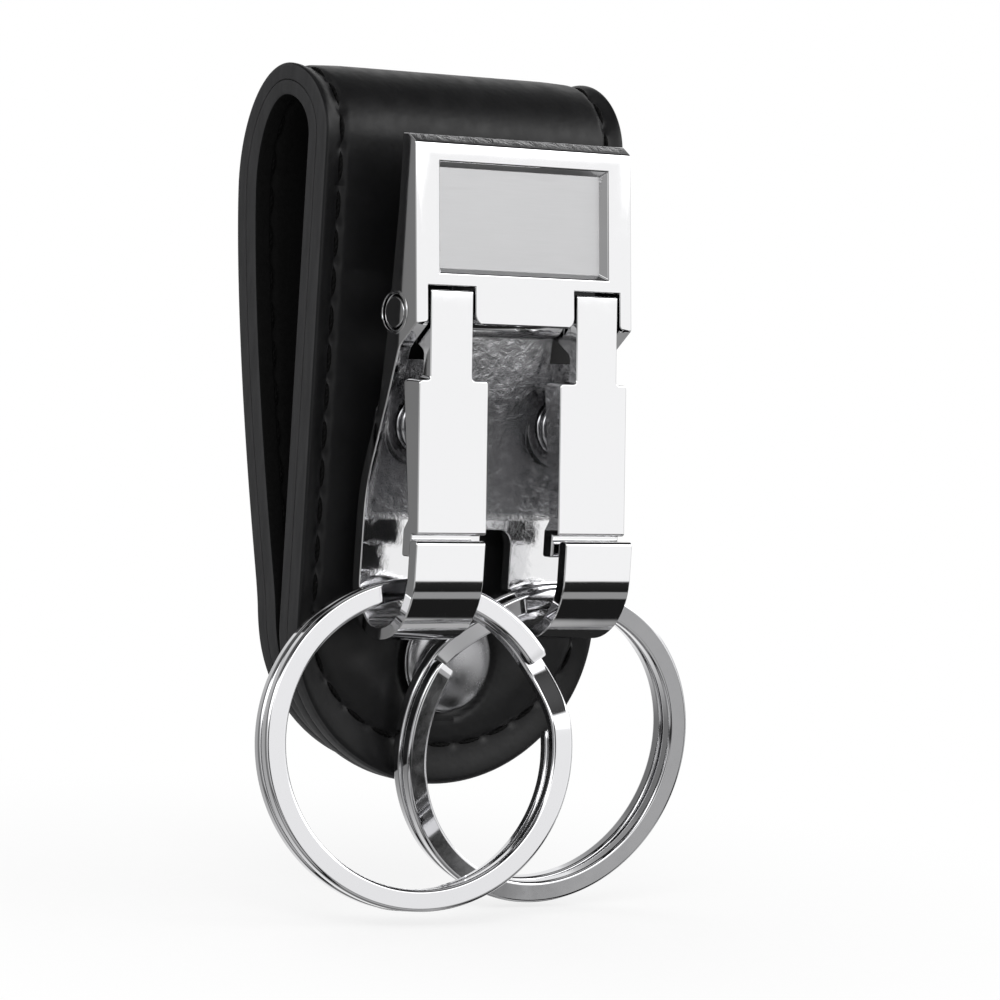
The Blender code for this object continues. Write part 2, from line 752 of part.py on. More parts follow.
def hang_height(x, out, yaw, swing):
    """Height of a ring's pivot when its wire lies just above the hook, all along the tab."""
    half_depth = ring_wire_thickness + ring_turn_gap / 2
    middle = ring_outer_radius - ring_wire_width / 2
    inner = middle - ring_wire_width / 2
    heights = []
    for step in range(-hang_steps, hang_steps + 1):
        along = inner / 2 * step / hang_steps
        drop = middle - math.sqrt(inner ** 2 - along ** 2)
        for depth in (-half_depth, 0.0, half_depth):
            behind = depth * math.cos(swing) + drop * math.sin(swing)
            across = abs(x + along * math.cos(yaw) + behind * math.sin(yaw))
            if half_slot < across < half_clip:
                floor = channel_floor(out + along * math.sin(yaw) - behind * math.cos(yaw))
                heights.append(floor + gap + drop * math.cos(swing) - depth * math.sin(swing))
    return max(heights)


def split_ring(name, x, out, yaw, swing, ramp_angle):
    """Two turns of flat wire hanging in a hook, with its origin on the line that it swings about."""
    yaw, swing = math.radians(yaw), math.radians(swing)
    middle = ring_outer_radius - ring_wire_width / 2
    total = 2 * full_turn - ring_ramp_degrees
    count = round(total / full_turn * ring_turn_points)
    points = []
    for step in range(count + 1):
        turn = total * step / count
        angle = math.radians(ramp_angle + ring_ramp_degrees / 2 + turn)
        points.append(Vector((middle * math.cos(angle), middle * math.sin(angle), ring_axial(turn))))
    curve = bpy.data.curves.new(name, "CURVE")
    curve.dimensions = "3D"
    curve.twist_mode = "Z_UP"
    curve.bevel_mode = "OBJECT"
    curve.bevel_object = wire_section(ring_wire_width, ring_wire_thickness, ring_wire_round)
    curve.use_fill_caps = True
    spline = curve.splines.new("POLY")
    spline.points.add(count)
    for place, point in zip(spline.points, points):
        place.co = (*point, 1.0)
    source = placed(name, curve, cutters)
    pivot = Vector((x, clip_y(out), hang_height(x, out, yaw, swing)))
    hang = Matrix.Rotation(-yaw, 4, "Z") @ Matrix.Rotation(swing, 4, "X")
    upright = Matrix.Translation((0, 0, -middle)) @ Matrix.Rotation(math.radians(90), 4, "X")
    source.matrix_world = Matrix.Translation(pivot) @ hang @ upright
    ring = solid_from(source, name, parts)
    pivot_at(ring, pivot)
    finish(ring, chrome_finish)
    overlap = range(0, int(total - full_turn), turn_check)
    turn_gap = min(abs(ring_axial(turn) - ring_axial(turn + full_turn)) for turn in overlap)
    print(name, "least gap", round((turn_gap - ring_wire_thickness) / mm, 2), "mm, pivot", tuple(pivot))


split_ring("ring_left", -ring_left_offset, ring_left_out, ring_left_yaw, ring_left_swing, ring_left_ramp)
split_ring("ring_right", ring_right_offset, ring_right_out, ring_right_yaw, ring_right_swing, ring_right_ramp)


# Rivets and washers, which sit in windows of the lining and hold the clip on the outer ply

washer_front = front_ply_inside + gap
head_front = washer_front + washer_thickness + gap
for label, down in rivets.items():
    z = clip_z(down)
    cut(strap_front, rod(f"rivet_hole_{label}", (0, -far, z), (0, 0, z), rivet_shank_radius + gap, cutters))
    cut(lining_front, rod(f"rivet_window_{label}", (0, -far, z), (0, 0, z), washer_radius + gap, cutters))
    washer_back = (0, washer_front + washer_thickness, z)
    washer = rod(f"washer_{label}", (0, washer_front, z), washer_back, washer_radius, parts)
    cut(washer, rod(f"washer_hole_{label}", (0, -far, z), (0, far, z), rivet_shank_radius + gap, cutters))
    finish(washer, nickel_finish)
    tip = boss_end - rivet_grip
    rivet_profile = [(0.0, tip), (rivet_shank_radius, tip), (rivet_shank_radius, head_front),
                     (rivet_head_radius, head_front), (rivet_head_radius, head_front + rivet_head_height / 2),
                     (rivet_head_top_radius, head_front + rivet_head_height),
                     (0.0, head_front + rivet_head_height)]
    rivet = turned(f"rivet_{label}", rivet_profile, 0.0, z, parts)
    finish(rivet, nickel_finish)
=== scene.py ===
import math

import bmesh
import bpy
import numpy as np
from mathutils import Matrix, Vector


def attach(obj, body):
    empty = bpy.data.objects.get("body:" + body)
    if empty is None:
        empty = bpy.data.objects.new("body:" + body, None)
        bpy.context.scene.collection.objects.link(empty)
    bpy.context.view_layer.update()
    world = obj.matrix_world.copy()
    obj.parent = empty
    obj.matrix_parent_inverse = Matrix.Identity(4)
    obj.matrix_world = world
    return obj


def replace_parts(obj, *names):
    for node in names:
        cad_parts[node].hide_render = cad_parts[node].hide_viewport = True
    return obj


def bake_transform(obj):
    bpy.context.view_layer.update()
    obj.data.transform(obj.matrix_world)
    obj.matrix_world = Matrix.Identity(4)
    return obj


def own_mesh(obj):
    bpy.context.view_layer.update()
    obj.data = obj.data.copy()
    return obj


# Leather belt keychain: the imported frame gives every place, in metres, and the sizes below are in millimetres
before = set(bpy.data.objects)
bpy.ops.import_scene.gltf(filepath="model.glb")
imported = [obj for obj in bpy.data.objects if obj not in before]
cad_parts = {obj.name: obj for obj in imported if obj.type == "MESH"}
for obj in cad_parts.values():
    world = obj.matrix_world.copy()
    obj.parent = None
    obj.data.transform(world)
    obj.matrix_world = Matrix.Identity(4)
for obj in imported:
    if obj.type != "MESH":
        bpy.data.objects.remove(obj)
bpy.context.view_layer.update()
mm = 0.001
print("frame loaded,", len(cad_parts), "nodes")


# Colours and nodes

def hexColour(text):  # sRGB hex to linear, with the usual two-part curve
    parts = np.array([int(text[i:i + 2], 16) for i in (1, 3, 5)]) / 255
    line = np.where(parts <= 0.04045, parts / 12.92, ((parts + 0.055) / 1.055) ** 2.4)
    return (*line.tolist(), 1.0)


def grey(level):
    return (level, level, level, 1.0)


def perMm(size):  # noise scale on Object coordinates for a feature of that many millimetres
    return 1000.0 / size


def add(tree, kind, links=None, **settings):
    # One node with its settings, and its inputs as values or links; what comes back are its outputs
    node = tree.nodes.new("ShaderNode" + kind)
    for key, value in settings.items():
        setattr(node, key, value)
    for key, value in (links or {}).items():
        if isinstance(value, bpy.types.NodeSocket):
            tree.links.new(value, node.inputs[key])
        else:
            node.inputs[key].default_value = value
    return node.outputs


def product(tree, slopes):  # product of slopes, each from its least at the start to 1 at the end
    share = None
    for value, start, end, least in slopes:
        part = add(tree, "MapRange", {"Value": value, "From Min": start, "From Max": end,
                                      "To Min": least})[0]
        if share is not None:
            part = add(tree, "Math", {0: share, 1: part}, operation="MULTIPLY")[0]
        share = part
    return share


def newLook(name, **values):  # a Principled material with fixed values set on the shader's own sockets
    look = bpy.data.materials.new(name)
    look.use_nodes = True
    shader = look.node_tree.nodes["Principled BSDF"]
    socket = {"colour": "Base Color", "rough": "Roughness", "metal": "Metallic", "spec": "Specular IOR Level"}
    for key, value in values.items():
        shader.inputs[socket[key]].default_value = hexColour(value) if key == "colour" else value
    return look, look.node_tree, shader


# Camera: the photograph's own place, turn and long lens, for a square picture

camera = {"place": (-275.146, -365.338, -7.328), "lens": 175.695, "sensor": 36.0,
          "right": (0.78892, -0.61135, 0.06208), "down": (0.00993, -0.08833, -0.99604),
          "forward": (0.61441, 0.78641, -0.06361)}

cameraData = bpy.data.cameras.new("camera")
cameraData.lens, cameraData.sensor_width = camera["lens"], camera["sensor"]
cameraData.clip_start, cameraData.clip_end = 0.02, 20.0
cameraObject = bpy.data.objects.new("camera", cameraData)
bpy.context.scene.collection.objects.link(cameraObject)
axes = Matrix((camera["right"], [-v for v in camera["down"]], [-v for v in camera["forward"]])).transposed()
cameraObject.matrix_world = Matrix.Translation(Vector(camera["place"]) * mm) @ axes.to_4x4()
bpy.context.scene.camera = cameraObject
bpy.context.scene.view_settings.view_transform = "Standard"


# Surroundings: white to the camera, plain light for matt surfaces, and studio cards for the metal to mirror
# Cards and flags are (place on Z or X, grey), and windows are (axis, where it starts, where it is full)

studio = {"plain": 0.62, "backLeft": 0.18, "backRight": 0.9, "backRun": 0.35,
          "shade": 0.12, "shadeCone": (0.95, 0.985),
          "cards": [(-1.0, 0.42), (-0.78, 0.42), (-0.76, 0.012), (-0.49, 0.012), (-0.47, 0.3), (-0.36, 0.3),
                    (-0.345, 0.012), (-0.16, 0.02), (-0.135, 1.0), (0.2, 1.0), (0.28, 4.0), (0.5, 4.0),
                    (0.6, 0.03), (1.0, 0.03)],
          "sideCards": [(-1.0, 0.15), (-0.7, 0.4), (-0.45, 0.5), (-0.4, 0.05), (-0.32, 0.04), (-0.28, 0.4),
                        (-0.1, 0.7), (0.2, 1.0), (0.28, 2.0), (0.5, 2.0), (0.56, 0.05), (0.8, 0.1),
                        (1.0, 0.5)],
          "flags": [(-1.0, 0.35), (-0.97, 0.35), (-0.95, 1.0), (-0.45, 1.0), (-0.43, 0.03), (-0.29, 0.03),
                    (-0.27, 1.0), (0.95, 1.0), (0.975, 0.4), (1.0, 0.4)],
          "front": [("X", 0.32, 0.38), ("X", 0.78, 0.72)],
          "back": [("Y", 0.1, 0.35), ("Z", 0.75, 0.55), ("Z", -0.75, -0.55)],
          "board": 0.42,
          "boardAt": [("X", 0.404, 0.418), ("X", 0.53, 0.5), ("Z", -0.12, -0.15), ("Z", -0.46, -0.44),
                      ("Y", 0.0, -0.1)],
          "backBoard": 0.02,
          "backBoardAt": [("X", 0.56, 0.58), ("X", 0.67, 0.65), ("Z", -0.1, -0.12), ("Y", 0.1, 0.2)]}

world = bpy.data.worlds.new("soft studio")
world.use_nodes = True
tree = world.node_tree
tree.nodes.clear()
path = add(tree, "LightPath")
way = add(tree, "TexCoord")["Generated"]
split = add(tree, "SeparateXYZ", {0: way})


def window(limits):  # share of a way that lies inside all of the given soft limits
    return product(tree, [(split[axis], start, full, 0.0) for axis, start, full in limits])


def spread(axis, rows):  # greys laid along one axis of the way, from -1 to 1
    place = add(tree, "Math", {0: split[axis], 1: 0.5, 2: 0.5}, operation="MULTIPLY_ADD")[0]
    ramp = add(tree, "ValToRGB", {0: place})[0]
    stops = ramp.node.color_ramp.elements
    while len(stops) < len(rows):
        stops.new(0.5)
    for stop, (at, level) in zip(stops, rows):
        stop.position = (at + 1) / 2
        stop.color = grey(level)
    return ramp


side = add(tree, "MapRange", {"Value": split["X"], "From Min": -studio["backRun"],
                              "From Max": studio["backRun"], "To Min": studio["backLeft"],
                              "To Max": studio["backRight"]})[0]
towards = add(tree, "VectorMath", {0: way, 1: tuple(-v for v in camera["forward"])},
              operation="DOT_PRODUCT")["Value"]
shade = add(tree, "MapRange", {"Value": towards, "From Min": studio["shadeCone"][0],
                               "From Max": studio["shadeCone"][1]})[0]
# Front cards fill a sector right of the camera, and lighter ones with dark flags stand round the other sides
# Then come the back, a board low on the right, a dark one low behind, and the dark round the camera itself
mirrored = spread("Z", studio["sideCards"])
for share, top, blend in ((window(studio["front"]), spread("Z", studio["cards"]), "MIX"),
                          (1.0, spread("X", studio["flags"]), "MULTIPLY"),
                          (window(studio["back"]), side, "MIX"),
                          (window(studio["boardAt"]), grey(studio["board"]), "MIX"),
                          (window(studio["backBoardAt"]), grey(studio["backBoard"]), "MIX"),
                          (shade, grey(studio["shade"]), "MIX")):
    mirrored = add(tree, "Mix", {0: share, 6: mirrored, 7: top}, data_type="RGBA", blend_type=blend)[2]
lit = add(tree, "Mix", {0: path["Is Glossy Ray"], 6: grey(studio["plain"]), 7: mirrored},
          data_type="RGBA")[2]
seen = add(tree, "Math", {0: path["Is Camera Ray"], 1: path["Is Transmission Ray"]}, operation="MAXIMUM")[0]
whole = add(tree, "Mix", {0: seen, 6: lit, 7: grey(1.0)}, data_type="RGBA")[2]
backdrop = add(tree, "Background", {"Color": whole, "Strength": 1.0})[0]
add(tree, "OutputWorld", {"Surface": backdrop})
bpy.context.scene.world = world

# Lamps: place in metres, disk size and power in watts, all turned to the middle of the object
lamps = {"key": ((-0.45, -0.55, 0.5), 0.5, 2.6), "fill": ((0.6, -0.35, 0.15), 0.6, 1.2),
         "back": ((0.2, 0.6, 0.45), 0.5, 1.2)}
aim = Vector((0, 0, -0.035))

for name, (place, size, power) in lamps.items():
    lampData = bpy.data.lights.new(name, "AREA")
    lampData.shape, lampData.size, lampData.energy = "DISK", size, power
    lamp = bpy.data.objects.new(name, lampData)
    lamp.location = place
    lamp.rotation_euler = (aim - Vector(place)).to_track_quat("-Z", "Y").to_euler()
    lamp.visible_glossy = False  # the cards are what the metal mirrors
    bpy.context.scene.collection.objects.link(lamp)

# Floor: pale paper near the object, which keeps its shadow, fading into the white around
floorSize = {"radius": 1.2, "height": -0.0743, "fadeStart": 0.04, "fadeEnd": 0.12, "least": 0.6,
             "corners": 64}

floorLook = bpy.data.materials.new("pale paper sweep")
floorLook.use_nodes = True
tree = floorLook.node_tree
tree.nodes.clear()
path = add(tree, "LightPath")
place = add(tree, "TexCoord")["Object"]
reach = add(tree, "VectorMath", {0: place}, operation="LENGTH")["Value"]
far = add(tree, "MapRange", {"Value": reach, "From Min": floorSize["fadeStart"],
                             "From Max": floorSize["fadeEnd"], "To Min": floorSize["least"]},
          interpolation_type="SMOOTHSTEP")[0]
seen = add(tree, "Math", {0: far, 1: path["Is Camera Ray"]}, operation="MULTIPLY")[0]
grain = add(tree, "TexNoise", {"Vector": place, "Scale": perMm(1.5), "Detail": 3.0})[0]
tone = add(tree, "Mix", {0: grain, 6: hexColour("#f4f4f4"), 7: hexColour("#fafafa")}, data_type="RGBA")[2]
paper = add(tree, "BsdfDiffuse", {"Color": tone})[0]
white = add(tree, "Emission", {"Color": grey(1.0), "Strength": 1.0})[0]
both = add(tree, "MixShader", {0: seen, 1: paper, 2: white})[0]
add(tree, "OutputMaterial", {"Surface": both})

turn = np.linspace(0, 2 * math.pi, floorSize["corners"] + 1)[:-1]
rim = np.stack([floorSize["radius"] * np.cos(turn), floorSize["radius"] * np.sin(turn),
                np.full(len(turn), floorSize["height"])], 1)
floorMesh = bpy.data.meshes.new("floor")
floorMesh.from_pydata(rim.tolist(), [], [list(range(len(turn)))])
floorMesh.materials.append(floorLook)
floor = bpy.data.objects.new("floor", floorMesh)
floor.visible_glossy = False
bpy.context.scene.collection.objects.link(floor)
print("camera, surroundings and floor made")


# Materials

# Full-grain cowhide, dyed black and waxed: near black, with a soft low sheen and fine pores
leatherLook, tree, shader = newLook("black full-grain leather", colour="#111112", rough=0.4, spec=0.26)
place = add(tree, "TexCoord")["Object"]
cloud = add(tree, "TexNoise", {"Vector": place, "Scale": perMm(7), "Detail": 4.0})[0]
tone = add(tree, "Mix", {0: cloud, 6: hexColour("#0d0d0e"), 7: hexColour("#171718")}, data_type="RGBA")[2]
tree.links.new(tone, shader.inputs["Base Color"])
pore = add(tree, "TexVoronoi", {"Vector": place, "Scale": perMm(0.55)}, feature="SMOOTH_F1")[0]
crease = add(tree, "TexNoise", {"Vector": place, "Scale": perMm(1.6), "Detail": 6.0})[0]
rough = add(tree, "MapRange", {"Value": crease, "From Min": 0.3, "From Max": 0.7, "To Min": 0.34,
                               "To Max": 0.46})[0]
tree.links.new(rough, shader.inputs["Roughness"])
grain = add(tree, "Math", {0: pore, 1: 0.6, 2: crease}, operation="MULTIPLY_ADD")[0]
bump = add(tree, "Bump", {"Height": grain, "Strength": 0.25, "Distance": 0.00008})[0]
tree.links.new(bump, shader.inputs["Normal"])


def grainedLook(name, colour, dark, light, rough, spec, grain, detail, stretch, strength, depth):
    # Dyed or painted surface: one noise, stretched along a direction, both shades the grain and raises it
    look, tree, shader = newLook(name, colour=colour, rough=rough, spec=spec)
    place = add(tree, "TexCoord")["Object"]
    drawn = add(tree, "Mapping", {"Vector": place, "Scale": stretch})[0]
    mark = add(tree, "TexNoise", {"Vector": drawn, "Scale": perMm(grain), "Detail": detail})[0]
    tone = add(tree, "Mix", {0: mark, 6: hexColour(dark), 7: hexColour(light)}, data_type="RGBA")[2]
    tree.links.new(tone, shader.inputs["Base Color"])
    bump = add(tree, "Bump", {"Height": mark, "Strength": strength, "Distance": depth})[0]
    tree.links.new(bump, shader.inputs["Normal"])
    return look


# Burnished edge paint: a rounded coat a little lighter than the leather, with long brush marks
edgeLook = grainedLook("burnished edge paint", colour="#323233", dark="#2a2a2b", light="#3c3c3d", rough=0.55,
                       spec=0.25, grain=0.5, detail=3.0, stretch=(1.0, 1.0, 0.12), strength=0.3,
                       depth=0.00006)

# Split-leather lining, dyed black: a short matt nap without shine
liningLook = grainedLook("black suede lining", colour="#101010", dark="#0a0a0a", light="#161616", rough=0.85,
                         spec=0.1, grain=0.35, detail=5.0, stretch=(1.0, 1.0, 1.0), strength=0.5,
                         depth=0.0001)

# Waxed polyester thread: black, three strands with a twist of about 0.6 mm, drawn along its own UV
threadLook, tree, shader = newLook("waxed black thread", colour="#070707", rough=0.7, spec=0.12)
along = add(tree, "UVMap", uv_map="along")[0]
twist = add(tree, "TexWave", {"Vector": along, "Scale": 1.0, "Distortion": 0.0}, wave_type="BANDS",
            bands_direction="DIAGONAL")[1]
tone = add(tree, "Mix", {0: twist, 6: hexColour("#040404"), 7: hexColour("#0c0c0c")}, data_type="RGBA")[2]
tree.links.new(tone, shader.inputs["Base Color"])
bump = add(tree, "Bump", {"Height": twist, "Strength": 0.8, "Distance": 0.00008})[0]
tree.links.new(bump, shader.inputs["Normal"])


def platedLook(name, colour, low, high, wave, skinAndShade=None):
    # Plated metal: long faint waves of the polish, tiny roughness clouds, rough cast skin in the hollows, and
    # painted shade there
    look, tree, shader = newLook(name, colour=colour, metal=1.0, rough=(low + high) / 2)
    place = add(tree, "TexCoord")["Object"]
    cloud = add(tree, "TexNoise", {"Vector": place, "Scale": perMm(2.5), "Detail": 6.0,
                                   "Roughness": 0.7})[0]
    rough = add(tree, "MapRange", {"Value": cloud, "From Min": 0.35, "From Max": 0.7, "To Min": low,
                                   "To Max": high})[0]
    swell = add(tree, "TexNoise", {"Vector": place, "Scale": perMm(4.0), "Detail": 1.0})[0]
    bump = add(tree, "Bump", {"Height": swell, "Strength": wave, "Distance": 0.0001})[0]
    if skinAndShade:  # its share is the product of three slopes, from (start, end, least) in millimetres on each axis
        split = add(tree, "SeparateXYZ", {0: place})
        across = add(tree, "Math", {0: split["X"]}, operation="ABSOLUTE")[0]
        limits = ((split["Y"], skinAndShade["y"]), (across, skinAndShade["x"]), (split["Z"], skinAndShade["z"]))
        share = product(tree, [(value, start * mm, end * mm, least) for value, (start, end, least) in limits])
        sand = add(tree, "TexNoise", {"Vector": place, "Scale": perMm(skinAndShade["grain"]), "Detail": 6.0,
                                      "Roughness": 0.62, "Distortion": 0.8})[0]
        dip = add(tree, "Math", {0: share, 1: skinAndShade["bump"]}, operation="MULTIPLY")[0]
        bump = add(tree, "Bump", {"Height": sand, "Strength": dip, "Distance": 0.0004, "Normal": bump})[0]
        rough = add(tree, "Math", {0: share, 1: skinAndShade["rough"], 2: rough}, operation="MULTIPLY_ADD")[0]
        # painted shade: in the hollows the base colour is mixed from the chrome's white down to the skin's
        # darker grey
        tone = add(tree, "Mix", {0: share, 6: hexColour(colour), 7: hexColour(skinAndShade["colour"])},
                   data_type="RGBA")[2]
        tree.links.new(tone, shader.inputs["Base Color"])
    tree.links.new(rough, shader.inputs["Roughness"])
    tree.links.new(bump, shader.inputs["Normal"])
    return look


# Die-cast zinc under bright chrome: white mirror faces, with the cast skin left rough down in the hollows and
# painted shade there
# the skin's roughness and bump are the cast skin; its mid-grey colour against the white chrome is painted shade
# in the recess
castSkinAndShade = {"y": (-13.5, -12.0, 0.0), "x": (12.3, 11.6, 0.0), "z": (-38.1, -37.3, 0.08), "grain": 1.1,
            "bump": 0.7, "rough": 0.06, "colour": "#8a8a8c"}
chromeLook = platedLook("bright chrome plate", "#f2f2f3", 0.03, 0.08, 0.05, castSkinAndShade)
ringLook = platedLook("polished nickel steel", "#ececee", 0.04, 0.1, 0.04)
springLook = platedLook("drawn spring steel", "#c9c9cc", 0.12, 0.22, 0.08)
nickelLook = platedLook("bright nickel plate", "#d8d5cf", 0.1, 0.2, 0.06)
capLook = platedLook("satin nickel plate", "#b4b4b6", 0.2, 0.3, 0.1)

# Satin nickel plate: rolled and brushed, so its fine scratches run across it and spread what it mirrors
plateLook, tree, shader = newLook("satin brushed plate", colour="#b0b0b1", metal=1.0, rough=0.42)
place = add(tree, "TexCoord")["Object"]
drawn = add(tree, "Mapping", {"Vector": place, "Scale": (0.04, 1.0, 1.0)})[0]
scratch = add(tree, "TexNoise", {"Vector": drawn, "Scale": perMm(0.12), "Detail": 3.0})[0]
rough = add(tree, "MapRange", {"Value": scratch, "To Min": 0.34, "To Max": 0.5})[0]
tree.links.new(rough, shader.inputs["Roughness"])
bump = add(tree, "Bump", {"Height": scratch, "Strength": 0.12, "Distance": 0.00003})[0]
tree.links.new(bump, shader.inputs["Normal"])
print("materials made")


# Surfaces from grids of points

weld = {"gap": 0.0004, "sliver": 0.0001, "carved": 0.002}  # points this near, in millimetres, become one


def unit(ways):  # vectors along the last axis, each at length 1
    return ways / np.linalg.norm(ways, axis=-1, keepdims=True)


def gridFaces(rows, columns, wrapColumns=False):  # four corners for each cell of a grid, as one array
    r = np.arange(rows - 1)[:, None] * columns
    c = np.arange(columns if wrapColumns else columns - 1)[None, :]
    n = (c + 1) % columns
    return np.stack([r + c, r + n, r + columns + n, r + columns + c], -1).reshape(-1, 4)


def piece(name, points, faces, looks, faceLooks=None, uv=None, sharp=40.0):
    # points are millimetres; doubles are merged, and a closed shell's faces are turned outwards
    mesh = bpy.data.meshes.new(name)
    mesh.from_pydata((np.asarray(points, float).reshape(-1, 3) * mm).tolist(), [], [list(f) for f in faces])
    if uv is not None:
        layer = mesh.uv_layers.new(name="along")
        corners = np.zeros(len(mesh.loops), np.int32)
        mesh.loops.foreach_get("vertex_index", corners)
        layer.data.foreach_set("uv", np.asarray(uv, np.float32).reshape(-1, 2)[corners].ravel())
    if faceLooks is not None:
        mesh.polygons.foreach_set("material_index", np.asarray(faceLooks, np.int32))
    work = bmesh.new()
    work.from_mesh(mesh)
    bmesh.ops.remove_doubles(work, verts=work.verts, dist=weld["gap"] * mm)
    bmesh.ops.dissolve_degenerate(work, edges=work.edges, dist=weld["sliver"] * mm)
    bmesh.ops.recalc_face_normals(work, faces=work.faces)
    work.to_mesh(mesh)
    work.free()
    for look in looks:
        mesh.materials.append(look)
    mesh.shade_smooth()
    mesh.set_sharp_from_angle(angle=math.radians(sharp))
    thing = bpy.data.objects.new(name, mesh)
    bpy.context.scene.collection.objects.link(thing)
    return thing


def sweep(name, centres, side, up, section, look, endScale=1.0):
    # Each point = centre + (side * section width + up * section height) * scale; both ends get a flat cap
    scale = np.ones((len(centres), 1, 1))
    scale[[0, -1]] = endScale
    rows, around = len(centres), len(section)
    grid = centres[:, None] + side[:, None] * section[None, :, :1] * scale
    grid = grid + up[:, None] * section[None, :, 1:] * scale
    faces = gridFaces(rows, around, True).tolist()
    faces += [list(range(around)), list(range((rows - 1) * around, rows * around))]
    return piece(name, grid, faces, [look])


def turned(name, profile, centre, looks, steps=96, sharp=35.0):
    # Profile points (radius, y) turned about a line along Y through the centre (x, z)
    profile = np.array(profile, float)
    angle = np.linspace(0, 2 * math.pi, steps + 1)[:-1]
    grid = np.stack([centre[0] + profile[:, None, 0] * np.cos(angle), profile[:, None, 1] + 0 * angle,
                     centre[1] + profile[:, None, 0] * np.sin(angle)], -1)
    return piece(name, grid, gridFaces(len(profile), steps, True), looks, sharp=sharp)


def roundBox(width, height, corner, steps=3, support=0.03):
    # Rectangle with round corners; a support point just past each arc keeps the shading of the sides flat
    angle = np.linspace(0, math.pi / 2, steps + 1)
    quarter = np.stack([np.cos(angle), np.sin(angle)], 1) * corner
    quarter = np.concatenate([[(corner, -support)], quarter, [(-support, corner)]])
    parts = []
    for k, (sx, sy) in enumerate(((1, 1), (-1, 1), (-1, -1), (1, -1))):
        c, s = math.cos(k * math.pi / 2), math.sin(k * math.pi / 2)
        middle = (sx * (width / 2 - corner), sy * (height / 2 - corner))
        parts.append(quarter @ np.array([[c, s], [-s, c]]) + middle)
    return np.concatenate(parts)


def carved(thing, steps):  # the piece's mesh after solid joins and cuts in turn; the tools are then deleted
    for operation, tool in steps:
        step = thing.modifiers.new("step", "BOOLEAN")
        step.operation, step.solver, step.object = operation, "EXACT", tool
    bpy.context.view_layer.update()
    fresh = bpy.data.meshes.new_from_object(thing.evaluated_get(bpy.context.evaluated_depsgraph_get()))
    thing.modifiers.clear()
    for operation, tool in steps:
        bpy.data.objects.remove(tool, do_unlink=True)
    return fresh


def cutHoles(thing, holes, low, high):  # round holes (drop, radius) on the middle line, from low to high on Y
    for drop, radius in holes:
        drill = turned("drill", [(0, low), (radius, low), (radius, high), (0, high)], (0, -drop), [], 40)
        thing.data = carved(thing, [("DIFFERENCE", drill)])


def dress(thing, body, node):  # a finished piece rides on its body in place of its CAD node
    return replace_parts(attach(thing, body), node)


def smooth(share):  # 3 s^2 - 2 s^3, which rises from 0 to 1 with level ends
    return share * share * (3 - 2 * share)


# Leather: two plies folded over the belt and sewn round the edge, with a rolled border and a sunk seam

leather = {"half": 17.4, "tongue": 15.0, "frontBottom": 63.0, "flapBottom": 62.2, "cut": 8.0, "inside": 3.75,
           "bulge": 0.3, "lining": 1.38, "between": 0.02, "outer": 1.44, "slopeEnd": 47.2, "slopePower": 1.45,
           "layerGap": 0.5, "bead": 0.1, "beadAt": 0.34, "groove": 0.2, "crown": 0.12, "puff": 0.35,
           "seamIn": 2.0, "seamTip": 2.3, "pitch": 3.5, "pad": 0.1, "thread": 0.22, "holeDepth": 0.24,
           "step": 0.34, "snap": 51.3, "dish": 0.5, "dishAt": 5.5, "dishSoft": 0.35, "ease": 0.3,
           "puffStart": 48.8, "puffRun": 4.0, "fieldRun": 4.0, "snapClear": 7.5, "rim": 0.4,
           "rivets": (8.55, 24.05), "rivetHoles": (1.4, 3.5), "snapHoles": (1.6, 4.5)}


def outerProfile():
    # Rows are (share of seam inset, fixed inset, height, look): under side, painted rim, bead, groove, field
    half, top, rim = leather["half"], leather["outer"], leather["rim"]
    crest, groove = leather["beadAt"] * 0.5, leather["groove"]
    rows = [(1 - s, half * s, 0.0, 0) for s in (1.0, 0.55, 0.2, 0.0)]
    rows += [(0.4, 0.0, 0.0, 0), (0.0, 0.18, 0.0, 1), (0.0, 0.05, 0.03, 1), (0.0, 0.0, 0.12, 1)]
    rows += [(0.0, -0.01, 0.5, 1), (0.0, 0.0, 0.9, 1), (0.0, 0.01, top - rim, 1)]
    for angle in np.radians(np.linspace(8, 90, 9)):  # bead: a quarter ellipse from the rim up to its crest
        rows.append((leather["beadAt"] * (1 - math.cos(angle)) * 0.5, 0.01,
                     top - rim + (leather["bead"] + rim) * math.sin(angle), 1 if angle < 1.0 else 0))
    for s in np.linspace(0, 1, 12)[1:]:  # down into the groove on a cosine
        wave = 0.5 + 0.5 * math.cos(math.pi * min(s * 1.1, 1))
        rows.append((crest + (1 - crest) * s, 0.0, top - groove + (leather["bead"] + groove) * wave, 0))
    for e in (0.12, 0.24, 0.38, 0.55, 0.75, 1.0, 1.4, 2.0):  # and up out of it on a Gauss curve
        rows.append((1.0, e, top - groove * math.exp(-(e / 0.42) ** 2), 0))
    start = 2.0 / (half - leather["seamIn"])
    for s in start + (1 - start) * np.linspace(0, 1, 26)[1:]:
        rows.append((1 - s, half * s, top, 0))
    return np.array(rows)


def liningProfile():  # the same rows for the lining: a plain round rim, a groove on a Gauss curve, the field
    half, top, groove = leather["half"], leather["lining"], leather["groove"]
    rows = [(1 - s, half * s, 0.0, 0) for s in (1.0, 0.5, 0.0)]
    rows += [(0.0, 0.18, 0.0, 1), (0.0, 0.05, 0.03, 1), (0.0, 0.0, 0.12, 1), (0.0, -0.01, 0.5, 1)]
    rows += [(0.0, 0.0, 1.0, 1), (0.0, 0.05, top - 0.16, 1), (0.0, 0.16, top - 0.03, 1), (0.0, 0.3, top, 0)]
    rows += [(s, 0.0, top, 0) for s in (0.4, 0.7, 0.85)]
    rows += [(1.0, e, top - groove * math.exp(-(e / 0.4) ** 2), 0) for e in (-0.2, 0.0, 0.2, 0.45, 0.8, 1.3)]
    start = 1.3 / (half - leather["seamIn"])
    rows += [(1 - s, half * s, top, 0) for s in start + (1 - start) * np.linspace(0, 1, 10)[1:]]
    return np.array(rows)


